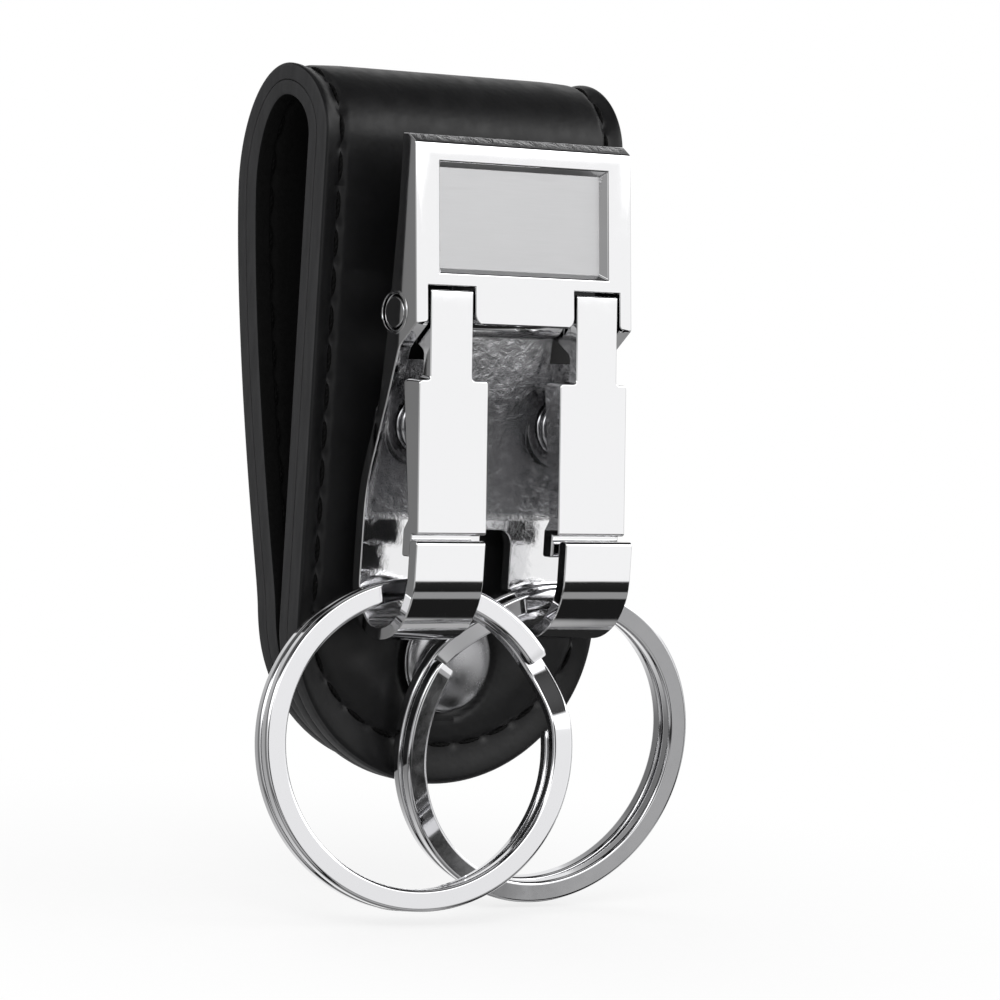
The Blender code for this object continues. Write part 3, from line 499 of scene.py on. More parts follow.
def sheetDepth(drop, flap):
    # y of the layer's inside: the flap leans in on a power curve, rounded by ease * log(1 + exp(x / ease))
    inside, ease = leather["inside"], leather["ease"]
    if not flap:
        return np.full_like(drop, -inside)
    share = np.clip((drop - leather["cut"]) / (leather["slopeEnd"] - leather["cut"]), 0, None)
    apart = (2 * inside + leather["bulge"] - leather["layerGap"]) * (1 - share ** leather["slopePower"])
    return -inside + leather["layerGap"] + ease * np.logaddexp(0, apart / ease)


def legStations(bottom):
    # Down the left side, round the half ellipse and up the right side: x factor, z factor and start height
    centre = bottom - leather["tongue"]
    down = np.linspace(leather["cut"], centre, round((centre - leather["cut"]) / leather["step"]) + 1)
    angle = np.linspace(math.pi, 2 * math.pi, 149)
    fx = np.concatenate([np.full(len(down) - 1, -1.0), np.cos(angle), np.full(len(down) - 1, 1.0)])
    fz = np.concatenate([np.zeros(len(down) - 1), np.sin(angle), np.zeros(len(down) - 1)])
    z0 = np.concatenate([-down[:-1], np.full(len(angle), -centre), -down[:-1][::-1]])
    return fx, fz, z0


def seamPhase(points):  # distance along a seam, and its pitch fitted to whole stitches
    run = np.concatenate([[0], np.cumsum(np.linalg.norm(np.diff(points, axis=0), axis=1))])
    return run, run[-1] / round(run[-1] / leather["pitch"])


def holes(run, pitch, away):  # dimple where the thread dives: a round Gauss pit at each whole pitch
    off = np.abs((run / pitch + 0.5) % 1 - 0.5) * pitch
    return leather["holeDepth"] * np.exp(-(off / 0.42) ** 2) * np.exp(-(away / 0.36) ** 2)


def legPly(name, outer, flap):
    # Each point lies inset * factor from the outline, and its height is added to the sheet's depth along Y
    half, tongue = leather["half"], leather["tongue"]
    bottom = leather["flapBottom"] if flap else leather["frontBottom"]
    fx, fz, z0 = legStations(bottom)
    profile = outerProfile() if outer else liningProfile()
    seam = leather["seamIn"] + leather["seamTip"] * np.abs(fz) ** 1.3
    inset = profile[None, :, 0] * seam[:, None] + profile[None, :, 1]
    x = (half - inset) * fx[:, None]
    z = z0[:, None] + tongue * (1 - inset / half) * fz[:, None]
    rise = profile[None, :, 2] + 0 * x
    line = np.stack([(half - seam) * fx, z0 + tongue * (1 - seam / half) * fz], 1)
    run, pitch = seamPhase(line)
    top = leather["outer"] if outer else leather["lining"]
    face = (profile[:, 2] > 0.55 * top)[None, :]
    rise = rise - face * holes(run[:, None], pitch, inset - seam[:, None]) * (1 if outer else 0.5)
    if outer:  # the padding swells inside the seam and around the snap, whose cap sits in a dish
        field = face * smooth(np.clip((inset - seam[:, None]) / leather["fieldRun"], 0, 1))
        fromSnap = np.hypot(x, z + leather["snap"])
        start, length = leather["puffStart"], leather["puffRun"]
        if flap:
            start, length = leather["cut"], 3 * length
        below = smooth(np.clip((-z - start) / length, 0, 1))
        around = 1 - np.exp(-(fromSnap / leather["snapClear"]) ** 6)
        rise = rise + field * (leather["crown"] + leather["puff"] * below * around)
        if not flap:
            soft = leather["dishSoft"]
            inDish = smooth(np.clip((leather["dishAt"] + soft - fromSnap) / (2 * soft), 0, 1))
            rise = rise - face * inDish * leather["dish"]
    depth = sheetDepth(-z, flap)
    layer = leather["lining"] + leather["between"]
    sign = 1.0 if flap else -1.0
    if outer:
        y = depth + sign * (layer + rise)
    else:
        y = depth + sign * (leather["lining"] - rise)
    grid = np.stack([x, y, z], -1)
    rows, columns = x.shape
    faces = gridFaces(rows, columns)
    rim = profile[:-1, 3] * profile[1:, 3]
    faceLooks = np.tile(rim, rows - 1).astype(int).tolist() + [0]
    cap = list(range(columns)) + list(range(rows * columns - 2, (rows - 1) * columns, -1))
    thing = piece(name, grid, faces.tolist() + [cap], looks[outer], faceLooks)
    seamRise = top - leather["groove"]
    seamRise = layer + seamRise if outer else leather["lining"] - seamRise
    seamY = sheetDepth(-line[:, 1], flap) + sign * seamRise
    seamLine = np.stack([line[:, 0], seamY, line[:, 1]], 1)
    normal = np.zeros_like(seamLine)
    normal[:, 1] = sign if outer else -sign
    return thing, (seamLine, normal, run, pitch)


def foldArc(angle, lift, height):
    # Fold: (y, z) = (-(a + h) cos, c + (b + h) sin), a circle quarter in front and an ellipse quarter behind
    front = angle <= math.pi / 2
    a = np.where(front, leather["inside"], leather["inside"] + leather["bulge"])
    b = np.where(front, leather["inside"], leather["cut"])
    extra = (Ellipsis,) + (None,) * (height.ndim - 1)
    a, b, angle, lift = a[extra], b[extra], angle[extra], lift[extra]
    return -(a + height) * np.cos(angle), lift - b + (b + height) * np.sin(angle), a, b


def foldStations(height):
    # A straight rise in front, then equal steps of arc length over both quarters
    rise = leather["cut"] - leather["inside"]
    fine = np.linspace(0, math.pi, 721)
    y, z, _, _ = foldArc(fine, 0 * fine, np.full(721, height))
    run = np.concatenate([[0], np.cumsum(np.hypot(np.diff(y), np.diff(z)))])
    angle = np.interp(np.linspace(0, run[-1], round(run[-1] / leather["step"]) + 1), run, fine)
    straight = np.linspace(-rise, 0, round(rise / leather["step"]) + 1)[:-1]
    return np.concatenate([0 * straight, angle]), np.concatenate([straight, 0 * angle])


def foldPly(name, outer):
    # The same profile carried round the fold
    profile = outerProfile() if outer else liningProfile()
    top = leather["outer"] if outer else leather["lining"]
    base = leather["lining"] + leather["between"] if outer else leather["lining"]
    seamHeight = base + top - leather["groove"] if outer else leather["groove"]
    angle, lift = foldStations(seamHeight)
    inset = profile[:, 0] * leather["seamIn"] + profile[:, 1]
    seamY, seamZ, a, b = foldArc(angle, lift, np.full(len(angle), seamHeight))
    line = np.stack([seamY, seamZ], 1)
    run, pitch = seamPhase(line)
    face = profile[:, 2] > 0.55 * top
    away = inset - leather["seamIn"]
    rise = profile[None, :, 2] - face * holes(run[:, None], pitch, away) * (1 if outer else 0.5)
    if outer:
        rise = rise + face * smooth(np.clip(away / leather["fieldRun"], 0, 1)) * leather["crown"]
    y, z, _, _ = foldArc(angle, lift, base + rise if outer else base - rise)
    left = np.stack([np.broadcast_to(-(leather["half"] - inset), y.shape), y, z], -1)
    right = left[:, -2:0:-1] * (-1, 1, 1)
    grid = np.concatenate([left, right], 1)
    rows, columns = grid.shape[:2]
    rim = profile[:-1, 3] * profile[1:, 3]
    faceLooks = np.tile(np.concatenate([rim, rim[::-1]]), rows - 1).astype(int).tolist() + [0, 0]
    faces = gridFaces(rows, columns, True).tolist()
    faces += [list(range(columns)), list(range((rows - 1) * columns, rows * columns))]
    thing = piece(name, grid, faces, looks[outer], faceLooks)
    up = np.stack([0 * angle, -np.cos(angle) / (a + seamHeight), np.sin(angle) / (b + seamHeight)], 1)
    up = unit(up) * (1 if outer else -1)
    seamX = np.full(len(line), leather["half"] - leather["seamIn"])
    return thing, [(np.stack([s * seamX, seamY, seamZ], 1), up, run, pitch) for s in (-1, 1)]


def stitches(name, seams):
    # Each stitch is a tube between two holes, at height = thread * (1.5 sin(pi a)^0.8 - 1.35) over the groove
    points, faces, uvs, first = [], [], [], 0
    share = np.linspace(0, 1, 9)
    around = np.linspace(0, 2 * math.pi, 9)
    for line, normal, run, pitch in seams:
        count = round(run[-1] / pitch)
        pad, thread = leather["pad"], leather["thread"]
        along = (np.arange(count)[:, None] + pad + (1 - 2 * pad) * share) * pitch
        centre = np.stack([np.interp(along, run, line[:, k]) for k in range(3)], -1)
        up = unit(np.stack([np.interp(along, run, normal[:, k]) for k in range(3)], -1))
        centre = centre + up * (thread * (1.5 * np.sin(math.pi * share) ** 0.8 - 1.35))[None, :, None]
        tangent = unit(np.gradient(centre, axis=1))
        across = unit(np.cross(up, tangent))
        upright = np.cross(tangent, across)
        width = (thread * (0.7 + 0.3 * np.sin(math.pi * share) ** 0.5))[None, :, None, None]
        tube = centre[:, :, None] + width * (np.cos(around)[:, None] * upright[:, :, None]
                                             + np.sin(around)[:, None] * across[:, :, None])
        cell = gridFaces(len(share), len(around))
        ends = np.array([np.arange(8)[::-1], np.arange(8) + (len(share) - 1) * len(around)])
        for k in range(count):
            faces += (cell + first).tolist() + (ends + first).tolist()
            first += len(share) * len(around)
        points.append(tube.reshape(-1, 3))
        u = np.broadcast_to((share * pitch / 1.2)[None, :, None], tube.shape[:3])
        v = np.broadcast_to((around / (2 * math.pi))[None, None, :], tube.shape[:3])
        uvs.append(np.stack([u, v], -1).reshape(-1, 2))
    return piece(name, np.concatenate(points), faces, [threadLook], uv=np.concatenate(uvs), sharp=80.0)


looks = {True: [leatherLook, edgeLook], False: [liningLook, edgeLook]}  # outer leather, lining
frontOuter, frontSeam = legPly("leather_front", True, False)
flapOuter, flapSeam = legPly("leather_flap", True, True)
foldOuter, foldSeams = foldPly("leather_fold", True)
frontInner, frontInnerSeam = legPly("lining_front_leg", False, False)
flapInner, flapInnerSeam = legPly("lining_flap_leg", False, True)
foldInner, foldInnerSeams = foldPly("lining_fold", False)
frontStitches = stitches("stitches_front", [frontSeam, frontInnerSeam])
flapStitches = stitches("stitches_flap", [flapSeam, flapInnerSeam])
foldStitches = stitches("stitches_fold", foldSeams + foldInnerSeams)

# Rivets and snap pass the outer leather in neat holes, and their wide parts sit in windows of the lining
snapDrop, rivetDrops = leather["snap"], leather["rivets"]
plies = ((frontOuter, foldOuter, flapOuter), (frontInner, foldInner, flapInner))
for (front, fold, flap), rivetHole, snapHole in zip(plies, leather["rivetHoles"], leather["snapHoles"]):
    cutHoles(front, [(snapDrop, snapHole)] + [(drop, rivetHole) for drop in rivetDrops], -9, 0)
    cutHoles(fold, [(rivetDrops[0], rivetHole)], -9, 0)
    cutHoles(flap, [(snapDrop, snapHole)], -5, 5)

dress(frontOuter, "holder", "strap_front")
dress(flapOuter, "flap", "strap_flap")
dress(frontInner, "holder", "lining_front")
dress(flapInner, "flap", "lining_flap")
for thing, body in ((frontStitches, "holder"), (flapStitches, "flap")):
    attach(thing, body)
for thing, slot in ((foldOuter, "leather"), (foldInner, "lining"), (foldStitches, "leather")):
    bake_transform(thing)
print("leather made")


# Clip: die-cast frame, spine, tabs and hooks, all from one side outline in millimetres
# "out" is the distance in front of the leather and "down" the distance below the casting's top edge

clip = {"face": -6.65, "top": -3.55, "half": 12.5, "wall": 1.15, "topOut": 7.0, "bottomOut": 8.76,
        "frame": 16.25, "chamfer": 1.1, "rise": 0.7, "side": 1.4, "spineTop": 5.05, "spineBend": 6.0,
        "spineFoot": 4.5, "kneeOut": 6.4, "kneeDown": 18.5, "knee": 2.0, "wallOut": 3.85, "wallDown": 23.5,
        "creaseOut": 1.5, "creaseDown": 31.4, "crease": 20.0, "tabOut": 1.4, "slotHalf": 4.68,
        "slotDown": 35.4, "slotRound": 1.5, "hookOut": 10.85, "hookBottom": 45.2, "hookRadius": 5.4,
        "hookTall": 6.1, "hookTip": 35.7, "tipRound": 0.4, "hookSlot": 34.0, "hookDeep": 3.0, "edge": 0.3,
        "barrel": 1.9, "barrelWall": 0.15, "pinOut": 5.39, "pinDown": 15.47, "pinRadius": 1.4,
        "pinGap": 0.25, "pinShow": 0.45, "stand": 0.12, "boss": 3.0, "bossTops": (5.6, 4.7),
        "bossFoot": 0.3, "bossHole": 1.25, "bossFloor": 3.6, "seat": 3.25, "seatRim": 0.55, "seatOut": 3.45,
        "seatFloor": 1.15, "springDown": 25.6, "flare": 1.0, "mouthBack": 1.5, "pocketFront": 1.3,
        "pocketStep": 0.6, "pocketGap": 0.06, "windowWidth": 19.6, "windowHeight": 10.1, "windowDown": 6.65,
        "windowBevel": 0.6, "windowDepth": 1.0, "plateDepth": 0.8, "plateGrow": 0.02, "broken": 0.12,
        "plateBroken": 0.04, "pinBroken": 0.1, "pinShort": 0.1}
gate = {"inner": 4.18, "width": 7.83, "neckInner": 6.03, "neckWidth": 4.77, "top": 13.12, "shoulder": 21.3,
        "foot": 35.24, "topOut": 8.49, "footOut": 10.21, "plate": 1.3, "topDepth": 2.4, "footDepth": 1.6,
        "flange": 0.7, "slope": 0.35, "lug": 1.95, "slotRun": 2.2, "neckRun": 3.3, "lip": 2.06,
        "lipThick": 1.3, "lipGap": 0.4, "gap": 0.3, "corner": 0.35, "edge": 0.25, "hole": 1.65,
        "spigot": 1.6, "spigotRun": 1.0, "broken": 0.13}
past = 60.0  # where a cutter ends, well outside the casting


def outY(out):
    return clip["face"] - out


def downZ(down):
    return clip["top"] - down


def sideways(points):  # (out, down) to (y, z)
    points = np.asarray(points, float)
    return np.stack([outY(points[:, 0]), downZ(points[:, 1])], 1)


def arcPoints(centre, radii, start, end, steps):
    angle = np.radians(np.linspace(start, end, steps + 1))
    return np.stack([centre[0] + radii[0] * np.cos(angle), centre[1] + radii[1] * np.sin(angle)], 1)


def rounded(corners, steps=6):
    # Closed outline whose corners (u, v, radius) become arcs; a corner without a radius stays sharp
    rows = []
    for k, corner in enumerate(corners):
        here = np.array(corner[:2], float)
        if len(corner) == 2:
            rows.append(here[None])
            continue
        a, b = np.array(corners[k - 1][:2]) - here, np.array(corners[(k + 1) % len(corners)][:2]) - here
        a, b = a / np.linalg.norm(a), b / np.linalg.norm(b)
        half = math.acos(np.clip(a @ b, -1, 1)) / 2
        centre = here + (a + b) / np.linalg.norm(a + b) * corner[2] / math.sin(half)
        first, last = (here + way * corner[2] / math.tan(half) - centre for way in (a, b))
        angle, share = math.pi - 2 * half, np.linspace(0, 1, steps + 1)[:, None]
        arc = np.sin((1 - share) * angle) * first + np.sin(share * angle) * last
        rows.append(centre + arc / math.sin(angle))
    return np.concatenate(rows)


def extrude(name, outline, axis, low, high, looks=()):
    # Outline is (y, z) for axis x and (x, z) for axis y
    u, v = np.asarray(outline, float).T
    count = len(u)
    k = np.arange(count)
    ends = [np.stack([w + 0 * u, u, v] if axis == "x" else [u, w + 0 * u, v], 1) for w in (low, high)]
    walls = np.stack([k, (k + 1) % count, (k + 1) % count + count, k + count], 1).tolist()
    return piece(name, np.concatenate(ends), walls + [k.tolist(), (k + count).tolist()], looks)


def rod(axis, centre, radius, low, high, steps=48, name="rod", looks=()):  # centre is (y, z) or (x, z)
    return extrude(name, arcPoints(centre, (radius, radius), 0, 360, steps)[:-1], axis, low, high, looks)


def casting(thing, steps, look, flat=0.3):
    # Solid joins and cuts in turn, then faces within flat degrees of each other are merged again
    fresh = carved(thing, steps)
    work = bmesh.new()
    work.from_mesh(fresh)
    bmesh.ops.remove_doubles(work, verts=work.verts, dist=weld["carved"] * mm)
    bmesh.ops.dissolve_limit(work, angle_limit=math.radians(flat), verts=work.verts, edges=work.edges)
    work.to_mesh(fresh)
    work.free()
    fresh.materials.clear()
    fresh.materials.append(look)
    thing.data = fresh
    return thing


def breakEdges(thing, width, segments, angle=28.0):
    # Polished edges: a small round on each sharp edge, with the flat faces keeping their own normals
    thing.data.shade_smooth()
    thing.data.set_sharp_from_angle(angle=math.radians(angle))
    bevel = thing.modifiers.new("edges", "BEVEL")
    bevel.width, bevel.segments, bevel.limit_method = width * mm, segments, "ANGLE"
    bevel.angle_limit, bevel.harden_normals, bevel.use_clamp_overlap = math.radians(angle), True, False
    return thing


def spineLine():
    # Back of the casting, down to the hook's tip: the crease is a wide arc, and the hook two quarter ellipses
    c, radius = clip, clip["hookRadius"]
    top = [(c["spineTop"], -c["rise"]), (c["spineTop"], c["spineBend"]), (c["spineFoot"], c["frame"]),
           (c["wallOut"], c["wallDown"])]
    centre = (c["hookOut"] - radius, c["hookBottom"] - radius)
    crease = rounded([(c["wallOut"], c["wallDown"]), (c["creaseOut"], c["creaseDown"], c["crease"]),
                      (c["tabOut"], centre[1])], 10)[1:-1]
    back = arcPoints(centre, (centre[0] - c["tabOut"], radius), 180, 90, 18)
    front = arcPoints((centre[0], c["hookBottom"] - c["hookTall"]), (radius, c["hookTall"]), 90, 0, 20)[1:]
    return np.concatenate([top, crease, back, front, [(c["hookOut"], c["hookTip"])]])


def offsetLine(line, wall):  # each point moved across the line, towards the front of the casting
    along = unit(np.gradient(line, axis=0))
    return line + np.stack([along[:, 1], -along[:, 0]], 1) * wall


def makeClip():
    c, g = clip, gate
    line = spineLine()
    inside = offsetLine(line, c["wall"])[3:]
    foot = inside[0]
    corners = [tuple(p) for p in line[:-1]] + [(*line[-1], c["tipRound"]), (*inside[-1], c["tipRound"])]
    corners += [tuple(p) for p in inside[-2:0:-1]] + [tuple(foot)]
    corners += [(c["kneeOut"], c["kneeDown"], c["knee"]), (c["bottomOut"], c["frame"], c["edge"]),
                (c["topOut"], 0.0, c["edge"]), (c["topOut"] - c["chamfer"], -c["rise"])]
    body = extrude("clip", sideways(rounded(corners)), "x", -c["half"], c["half"])

    # Joined on: the pin's barrel, two bosses for the rivets and two seats for the springs
    pinAt = (outY(c["pinOut"]), downZ(c["pinDown"]))
    end = c["half"] + c["stand"]
    middle = g["inner"] + g["width"] / 2
    seatY, seatZ = outY(c["seatOut"]), downZ(c["springDown"])
    joins = [rod("x", pinAt, c["barrel"], -end, end)]
    joins += [rod("y", (0, -drop), c["boss"], outY(top), outY(c["bossFoot"]))
              for drop, top in zip(leather["rivets"], c["bossTops"])]
    joins += [rod("y", (s * middle, seatZ), c["seat"] + c["seatRim"], seatY - c["seatFloor"],
                  seatY + c["seatFloor"]) for s in (-1, 1)]

    # Pocket between the side walls, under the barrel and open to the front
    pocketFoot = foot[1] + c["pocketStep"]
    pocket = np.concatenate([[(foot[0] + c["pocketGap"], pocketFoot),
                              (c["spineFoot"] + c["wall"], c["pinDown"] + c["barrel"])],
                             arcPoints((c["pinOut"], c["pinDown"]), (c["barrel"], c["barrel"]), 80, 10, 12),
                             [(c["bottomOut"] - c["pocketFront"], c["frame"]), (past, c["frame"]),
                              (past, pocketFoot)]])
    inner = c["half"] - c["side"]
    cuts = [extrude("pocket", sideways(pocket), "x", -inner, inner)]

    # For each gate: a slot for its neck, a flared mouth below it, the spring's seat and the pin's recess
    left, right = g["neckInner"] - g["gap"], g["neckInner"] + g["neckWidth"] + g["gap"]
    top, bottom = g["top"] - g["gap"], c["pinDown"] + g["lug"] + g["slotRun"]
    r, e, sill = c["flare"], c["flare"] * 0.5, c["frame"]
    turn = np.radians(np.linspace(0, 90, 9))
    mouth = np.concatenate([
        [(left, top)], np.stack([left - r * (1 - np.cos(turn)), sill - r * (1 - np.sin(turn))], 1),
        [(left - r, sill + 0.02), (right + e, sill + 0.02)],
        np.stack([right + e * (1 - np.sin(turn)), sill - e * (1 - np.cos(turn))], 1), [(right, top)]])
    for s in (-1, 1):
        neck = ((left, top), (right, top), (right, bottom), (left, bottom))
        cuts.append(extrude("slot", [(s * x, downZ(down)) for x, down in neck], "y", -past, c["face"]))
        cuts.append(extrude("mouth", np.stack([s * mouth[:, 0], downZ(mouth[:, 1])], 1), "y", -past,
                            outY(c["bottomOut"] - c["mouthBack"])))
        cuts.append(rod("y", (s * middle, seatZ), c["seat"], -past, seatY))
        cuts.append(rod("x", pinAt, c["barrel"] - c["barrelWall"],
                        *sorted((s * (end - c["pinShow"]), s * 20))))

    # Slot between the two tabs, wider at the hooks, then the bores and the window for the plate
    half, low, hookLow = c["slotHalf"], downZ(c["slotDown"]), downZ(c["hookSlot"])
    openEnd = [(-half, -90), (half, -90)]
    between = rounded(openEnd + [(half, low, c["slotRound"]), (-half, low, c["slotRound"])], 8)
    cuts.append(extrude("tabSlot", between, "y", -past, 0))
    cuts.append(extrude("hookSlot", openEnd + [(half, hookLow), (-half, hookLow)], "y", -past,
                        outY(c["hookOut"] - c["hookDeep"])))
    cuts.append(rod("x", pinAt, c["pinRadius"] + c["pinGap"], -20, 20))
    cuts += [rod("y", (0, -drop), c["bossHole"], outY(c["bossFloor"]), 0) for drop in leather["rivets"]]
    cuts.append(windowBlock("window", 1.0, -1.0, c["windowBevel"]))
    steps = [("UNION", tool) for tool in joins] + [("DIFFERENCE", tool) for tool in cuts]
    return casting(body, steps, chromeLook)


def windowBlock(name, back, front, flare, looks=(), grow=0.0):
    # A block on the frame's sloping face, between two depths behind it, widening by the flare per millimetre
    c = clip
    slope = (c["bottomOut"] - c["topOut"]) / c["frame"]
    tilt, out = math.atan(slope), c["topOut"] + slope * c["windowDown"]
    points = []
    for depth in (back, front):
        more = flare * (c["windowDepth"] - depth) - c["windowBevel"] + grow
        for sx, sz in ((-1, -1), (1, -1), (1, 1), (-1, 1)):
            points.append((sx * (c["windowWidth"] / 2 + more), depth, sz * (c["windowHeight"] / 2 + more)))
    points = np.array(points)
    y = points[:, 1] * math.cos(tilt) + points[:, 2] * math.sin(tilt)
    z = -points[:, 1] * math.sin(tilt) + points[:, 2] * math.cos(tilt)
    points = np.stack([points[:, 0], outY(out) + y, downZ(c["windowDown"]) + z], 1)
    faces = [(0, 1, 2, 3), (4, 5, 6, 7), (0, 1, 5, 4), (1, 2, 6, 5), (2, 3, 7, 6), (3, 0, 4, 7)]
    return piece(name, points, faces, looks)


def gateOut(down):  # the gate's sloping face
    share = (down - gate["top"]) / (gate["foot"] - gate["top"])
    return gate["topOut"] + (gate["footOut"] - gate["topOut"]) * share


def makeGate(name, side):
    # Neck, lug, hollow body and lip from one side outline, met by one front outline, then hollowed
    c, g = clip, gate
    lipOut = c["hookOut"] - c["wall"] - g["lipGap"]
    lipEnd, lipBack = g["foot"] + g["lip"], lipOut - g["lipThick"]
    neckBack = gateOut(g["shoulder"]) - g["plate"]
    pinAt = (outY(c["pinOut"]), downZ(c["pinDown"]))
    lug = arcPoints((c["pinOut"], c["pinDown"]), (g["lug"], g["lug"]), 90, 270, 24)
    corners = [(g["topOut"], g["top"], g["edge"]), (g["footOut"], g["foot"], g["edge"]), (lipOut, g["foot"]),
               (lipOut, lipEnd, g["edge"]), (lipBack, lipEnd, g["edge"]), (lipBack, g["foot"] - g["slope"]),
               (gateOut(g["foot"]) - g["footDepth"], g["foot"] - g["lipThick"]),
               (gateOut(g["shoulder"]) - g["topDepth"], g["shoulder"] + g["slope"]),
               (neckBack, g["shoulder"] - g["slope"]),
               (neckBack, c["pinDown"] + g["neckRun"], g["plate"] / 2)]
    corners += [tuple(p) for p in lug]
    low, high = sorted((side * g["inner"], side * (g["inner"] + g["width"])))
    body = extrude(name, sideways(rounded(corners)), "x", low, high)
    a, b, n, m = g["inner"], g["inner"] + g["width"], g["neckInner"], g["neckInner"] + g["neckWidth"]
    r, shoulder, foot = g["corner"], downZ(g["shoulder"]), downZ(lipEnd) - 2
    face = rounded([(n, past), (m, past), (m, shoulder, r), (b, shoulder, r), (b, foot), (a, foot),
                    (a, shoulder, r), (n, shoulder, r)], 5)
    top, bottom = g["shoulder"] + g["flange"], g["foot"] - g["lipThick"]
    slope = [(gateOut(down) - g["plate"], down) for down in (top, bottom)]
    hollow = sideways(slope + [(0, bottom), (0, top)])
    inner, outer = sorted((side * (a + g["flange"]), side * (b - g["flange"])))
    spigotAt = (side * (g["inner"] + g["width"] / 2), downZ(c["springDown"]))
    root = outY(gateOut(c["springDown"]) - g["plate"] / 2)
    steps = [("INTERSECT", extrude("face", face * (side, 1), "y", -past, 0)),
             ("DIFFERENCE", extrude("hollow", hollow, "x", inner, outer)),
             ("UNION", rod("y", spigotAt, g["spigot"], root, root + g["plate"] / 2 + g["spigotRun"], 32)),
             ("DIFFERENCE", rod("x", pinAt, g["hole"], -20, 20))]
    return casting(body, steps, chromeLook)


dress(breakEdges(makeClip(), clip["broken"], 3), "holder", "clip_body")
for side, sign in (("left", -1), ("right", 1)):
    thing = breakEdges(makeGate(side + "_gate", sign), gate["broken"], 3)
    dress(thing, "gate_" + side, "gate_" + side)
plate = windowBlock("plate", clip["windowDepth"], clip["plateDepth"], clip["windowBevel"], [plateLook],
                    clip["plateGrow"])
dress(breakEdges(plate, clip["plateBroken"], 2), "holder", "window_plate")
pinAt = (outY(clip["pinOut"]), downZ(clip["pinDown"]))
pinEnd = clip["half"] + clip["stand"] - clip["pinShort"]
pin = rod("x", pinAt, clip["pinRadius"], -pinEnd, pinEnd, 64, "pin", [chromeLook])
dress(breakEdges(pin, clip["pinBroken"], 3), "holder", "hinge_pin")
print("castings made")


# Snap: a domed cap with a rolled rim on the front
snapCap = {"radius": 4.95, "base": -6.45, "top": -8.25, "rim": 0.2}


def domeProfile():
    # A plain dome as a quarter ellipse over a thin rolled rim, from its top on the axis to its flat foot
    radius, base, top, rim = snapCap["radius"], snapCap["base"], snapCap["top"], snapCap["rim"]
    angle = np.radians(np.linspace(0, 86, 26))
    foot = base - 2 * rim
    dome = np.stack([(radius - rim / 2) * np.sin(angle), foot - (foot - top) * np.cos(angle)], 1)
    angle = np.radians(np.linspace(70, -80, 8))
    roll = np.stack([radius - rim + rim * np.cos(angle), base - rim - rim * np.sin(angle)], 1)
    return np.concatenate([dome, roll, [(radius - 0.3, base), (0, base)]])


cap = turned("cap", domeProfile(), (0, -snapDrop), [capLook], 128)
dress(cap, "holder", "snap_cap")

# Nickel plated hardware, each an outline of corners (radius, y, rounding) turned about its own axis
hardware = {
    "back_cap": [(0, 0.65), (2.9, 0.62, 1.6), (3.6, 0.2, 0.25), (3.6, -0.05, 0.1), (1.3, -0.05), (1.3, -2.25),
                 (0, -2.25)],
    "socket": [(0, -4.5), (2.1, -4.5), (2.1, -3.75, 0.15), (2.6, -3.75, 0.1), (2.8, -3.95, 0.1),
               (4.2, -3.95, 0.15), (4.2, -4.4, 0.1), (3.3, -4.85), (0, -4.85)],
    "stud": [(0, -4.2), (1.45, -4.2, 0.35), (1.8, -3.72, 0.3), (1.45, -3.25), (4.2, -3.25, 0.12),
             (4.2, -2.55, 0.1), (0, -2.55)],
    "rivet": [(0, -3.45), (1.7, -3.45, 0.5), (2.4, -3.8, 0.25), (2.4, -4.15, 0.05), (1.1, -4.15),
              (1.1, -9.95), (0, -9.95)],
    "washer": [(1.4, -4.45, 0.05), (3.2, -4.45, 0.12), (3.2, -4.85, 0.05), (1.4, -4.85, 0.05)]}
parts = [("snap_back_cap", "back_cap", "flap", snapDrop), ("snap_socket", "socket", "holder", snapDrop),
         ("snap_stud", "stud", "flap", snapDrop)]
for place, drop in zip(("upper", "lower"), rivetDrops):
    parts += [("rivet_" + place, "rivet", "holder", drop), ("washer_" + place, "washer", "holder", drop)]
for node, kind, body, drop in parts:
    outline = rounded(hardware[kind])
    if kind == "washer":  # the only outline that doesn't reach the axis, so it closes on itself
        outline = np.concatenate([outline, outline[:1]])
    dress(turned(node + "_turned", outline, (0, -drop), [nickelLook], 72), body, node)


# Return springs: a closed helix of round wire, with its end turns lying flat

spring = {"x": 8.095, "z": -29.15, "back": -10.66, "front": -14.25, "radius": 2.5, "wire": 0.3, "turns": 4.25,
          "flat": 0.75, "flatRise": 0.17, "pressed": 0.5}


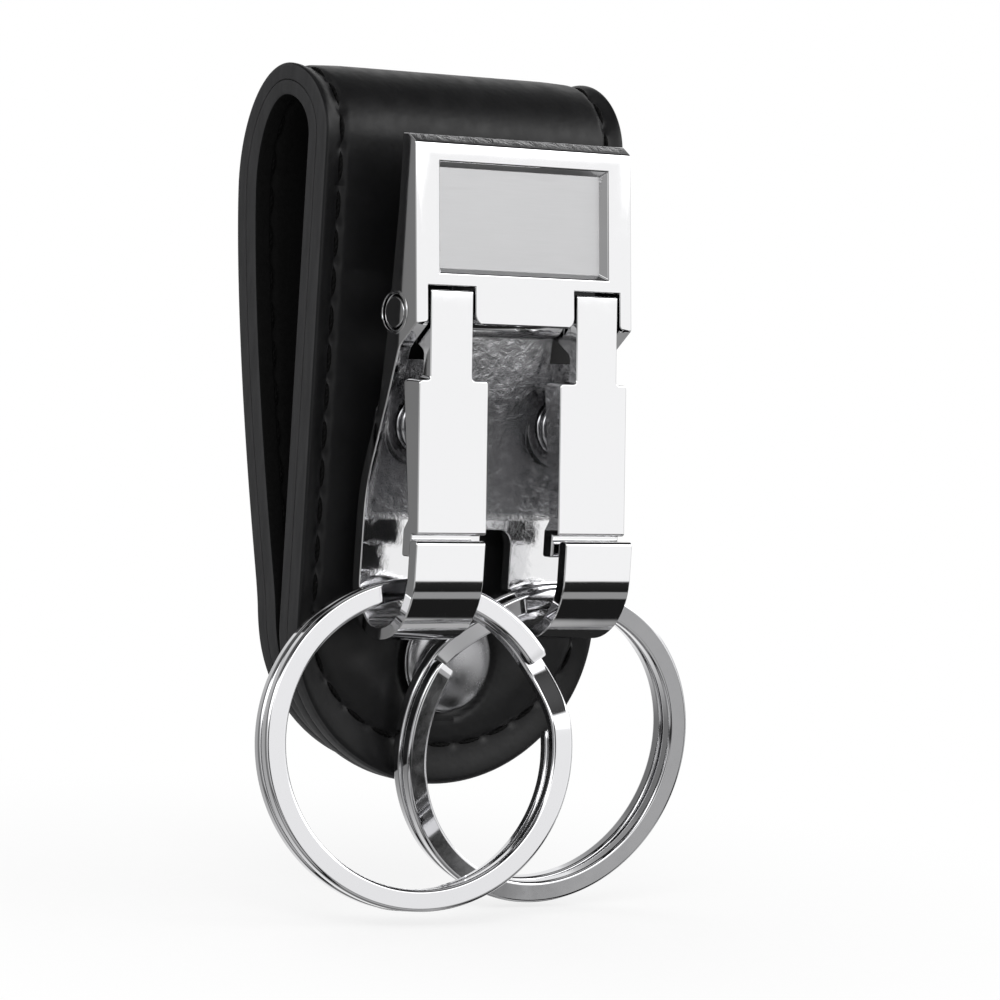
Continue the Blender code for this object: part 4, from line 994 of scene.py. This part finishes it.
def makeSpring(name, node, side):
    # Centre = (x, y, z) + radius * (cos, 0, sin), with y easing in over the flat end turns
    s = np.linspace(0, spring["turns"], 170)
    ends, rise = spring["flat"], spring["flatRise"]
    lay = np.clip((s - ends) / (spring["turns"] - 2 * ends), 0, 1) * (1 - 2 * rise)
    lay = lay + rise * np.clip(s / ends, 0, 1) + rise * np.clip((s - spring["turns"] + ends) / ends, 0, 1)
    angle = 2 * math.pi * s * side
    outward = np.stack([np.cos(angle), 0 * angle, np.sin(angle)], 1)
    centre = outward * spring["radius"] + (side * spring["x"], spring["back"], spring["z"])
    centre[:, 1] += (spring["front"] - spring["back"]) * lay
    tangent = unit(np.gradient(centre, axis=0))
    around = np.linspace(0, 2 * math.pi, 15)[:-1]
    section = np.stack([np.cos(around), np.sin(around)], 1) * spring["wire"]
    thing = sweep(name, centre, outward, np.cross(tangent, outward), section, springLook)
    dress(thing, "holder", node)
    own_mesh(thing)


for side, sign in (("left", -1), ("right", 1)):
    makeSpring(side + "_spring", "spring_" + side, sign)


# Split rings: two turns of flat wire with one crossing between them, hung from a pivot, then turned and swung

ring = {"middle": 14.1, "width": 2.0, "thickness": 1.34, "pitch": 1.76, "ramp": 28.0, "corner": 0.3,
        "endScale": 0.86,
        "left": {"pivot": (-8.6, -12.65, -44.0926), "yaw": 14.0, "swing": -8.0, "rampAt": 20.0},
        "right": {"pivot": (8.4, -12.25, -44.6592), "yaw": 7.0, "swing": 6.0, "rampAt": 134.0}}


def makeRing(name, node, pivot, yaw, swing, rampAt):
    # Wire centre = middle radius at an angle; its place on the axis is pitch * (0.5 - smoothstep of the ramp)
    turn = np.linspace(0, 720 - ring["ramp"], 360)
    share = np.clip((turn - 360 + ring["ramp"]) / ring["ramp"], 0, 1)
    angle = np.radians(rampAt + ring["ramp"] / 2 + turn)
    outward = np.stack([np.cos(angle), np.sin(angle), 0 * angle], 1)
    centre = outward * ring["middle"]
    centre[:, 2] = ring["pitch"] * (0.5 - smooth(share))
    tangent = unit(np.gradient(centre, axis=0))
    section = roundBox(ring["width"], ring["thickness"], ring["corner"])
    thing = sweep(name, centre, outward, np.cross(outward, tangent), section, ringLook, ring["endScale"])
    hang = (Matrix.Translation(Vector(pivot) * mm) @ Matrix.Rotation(math.radians(-yaw), 4, "Z")
            @ Matrix.Rotation(math.radians(swing), 4, "X") @ Matrix.Translation((0, 0, -ring["middle"] * mm))
            @ Matrix.Rotation(math.pi / 2, 4, "X"))
    thing.data.transform(hang)
    dress(thing, node, node)


for side in ("left", "right"):
    makeRing(side + "_ring", "ring_" + side, **ring[side])
print("snap, springs and rings made")
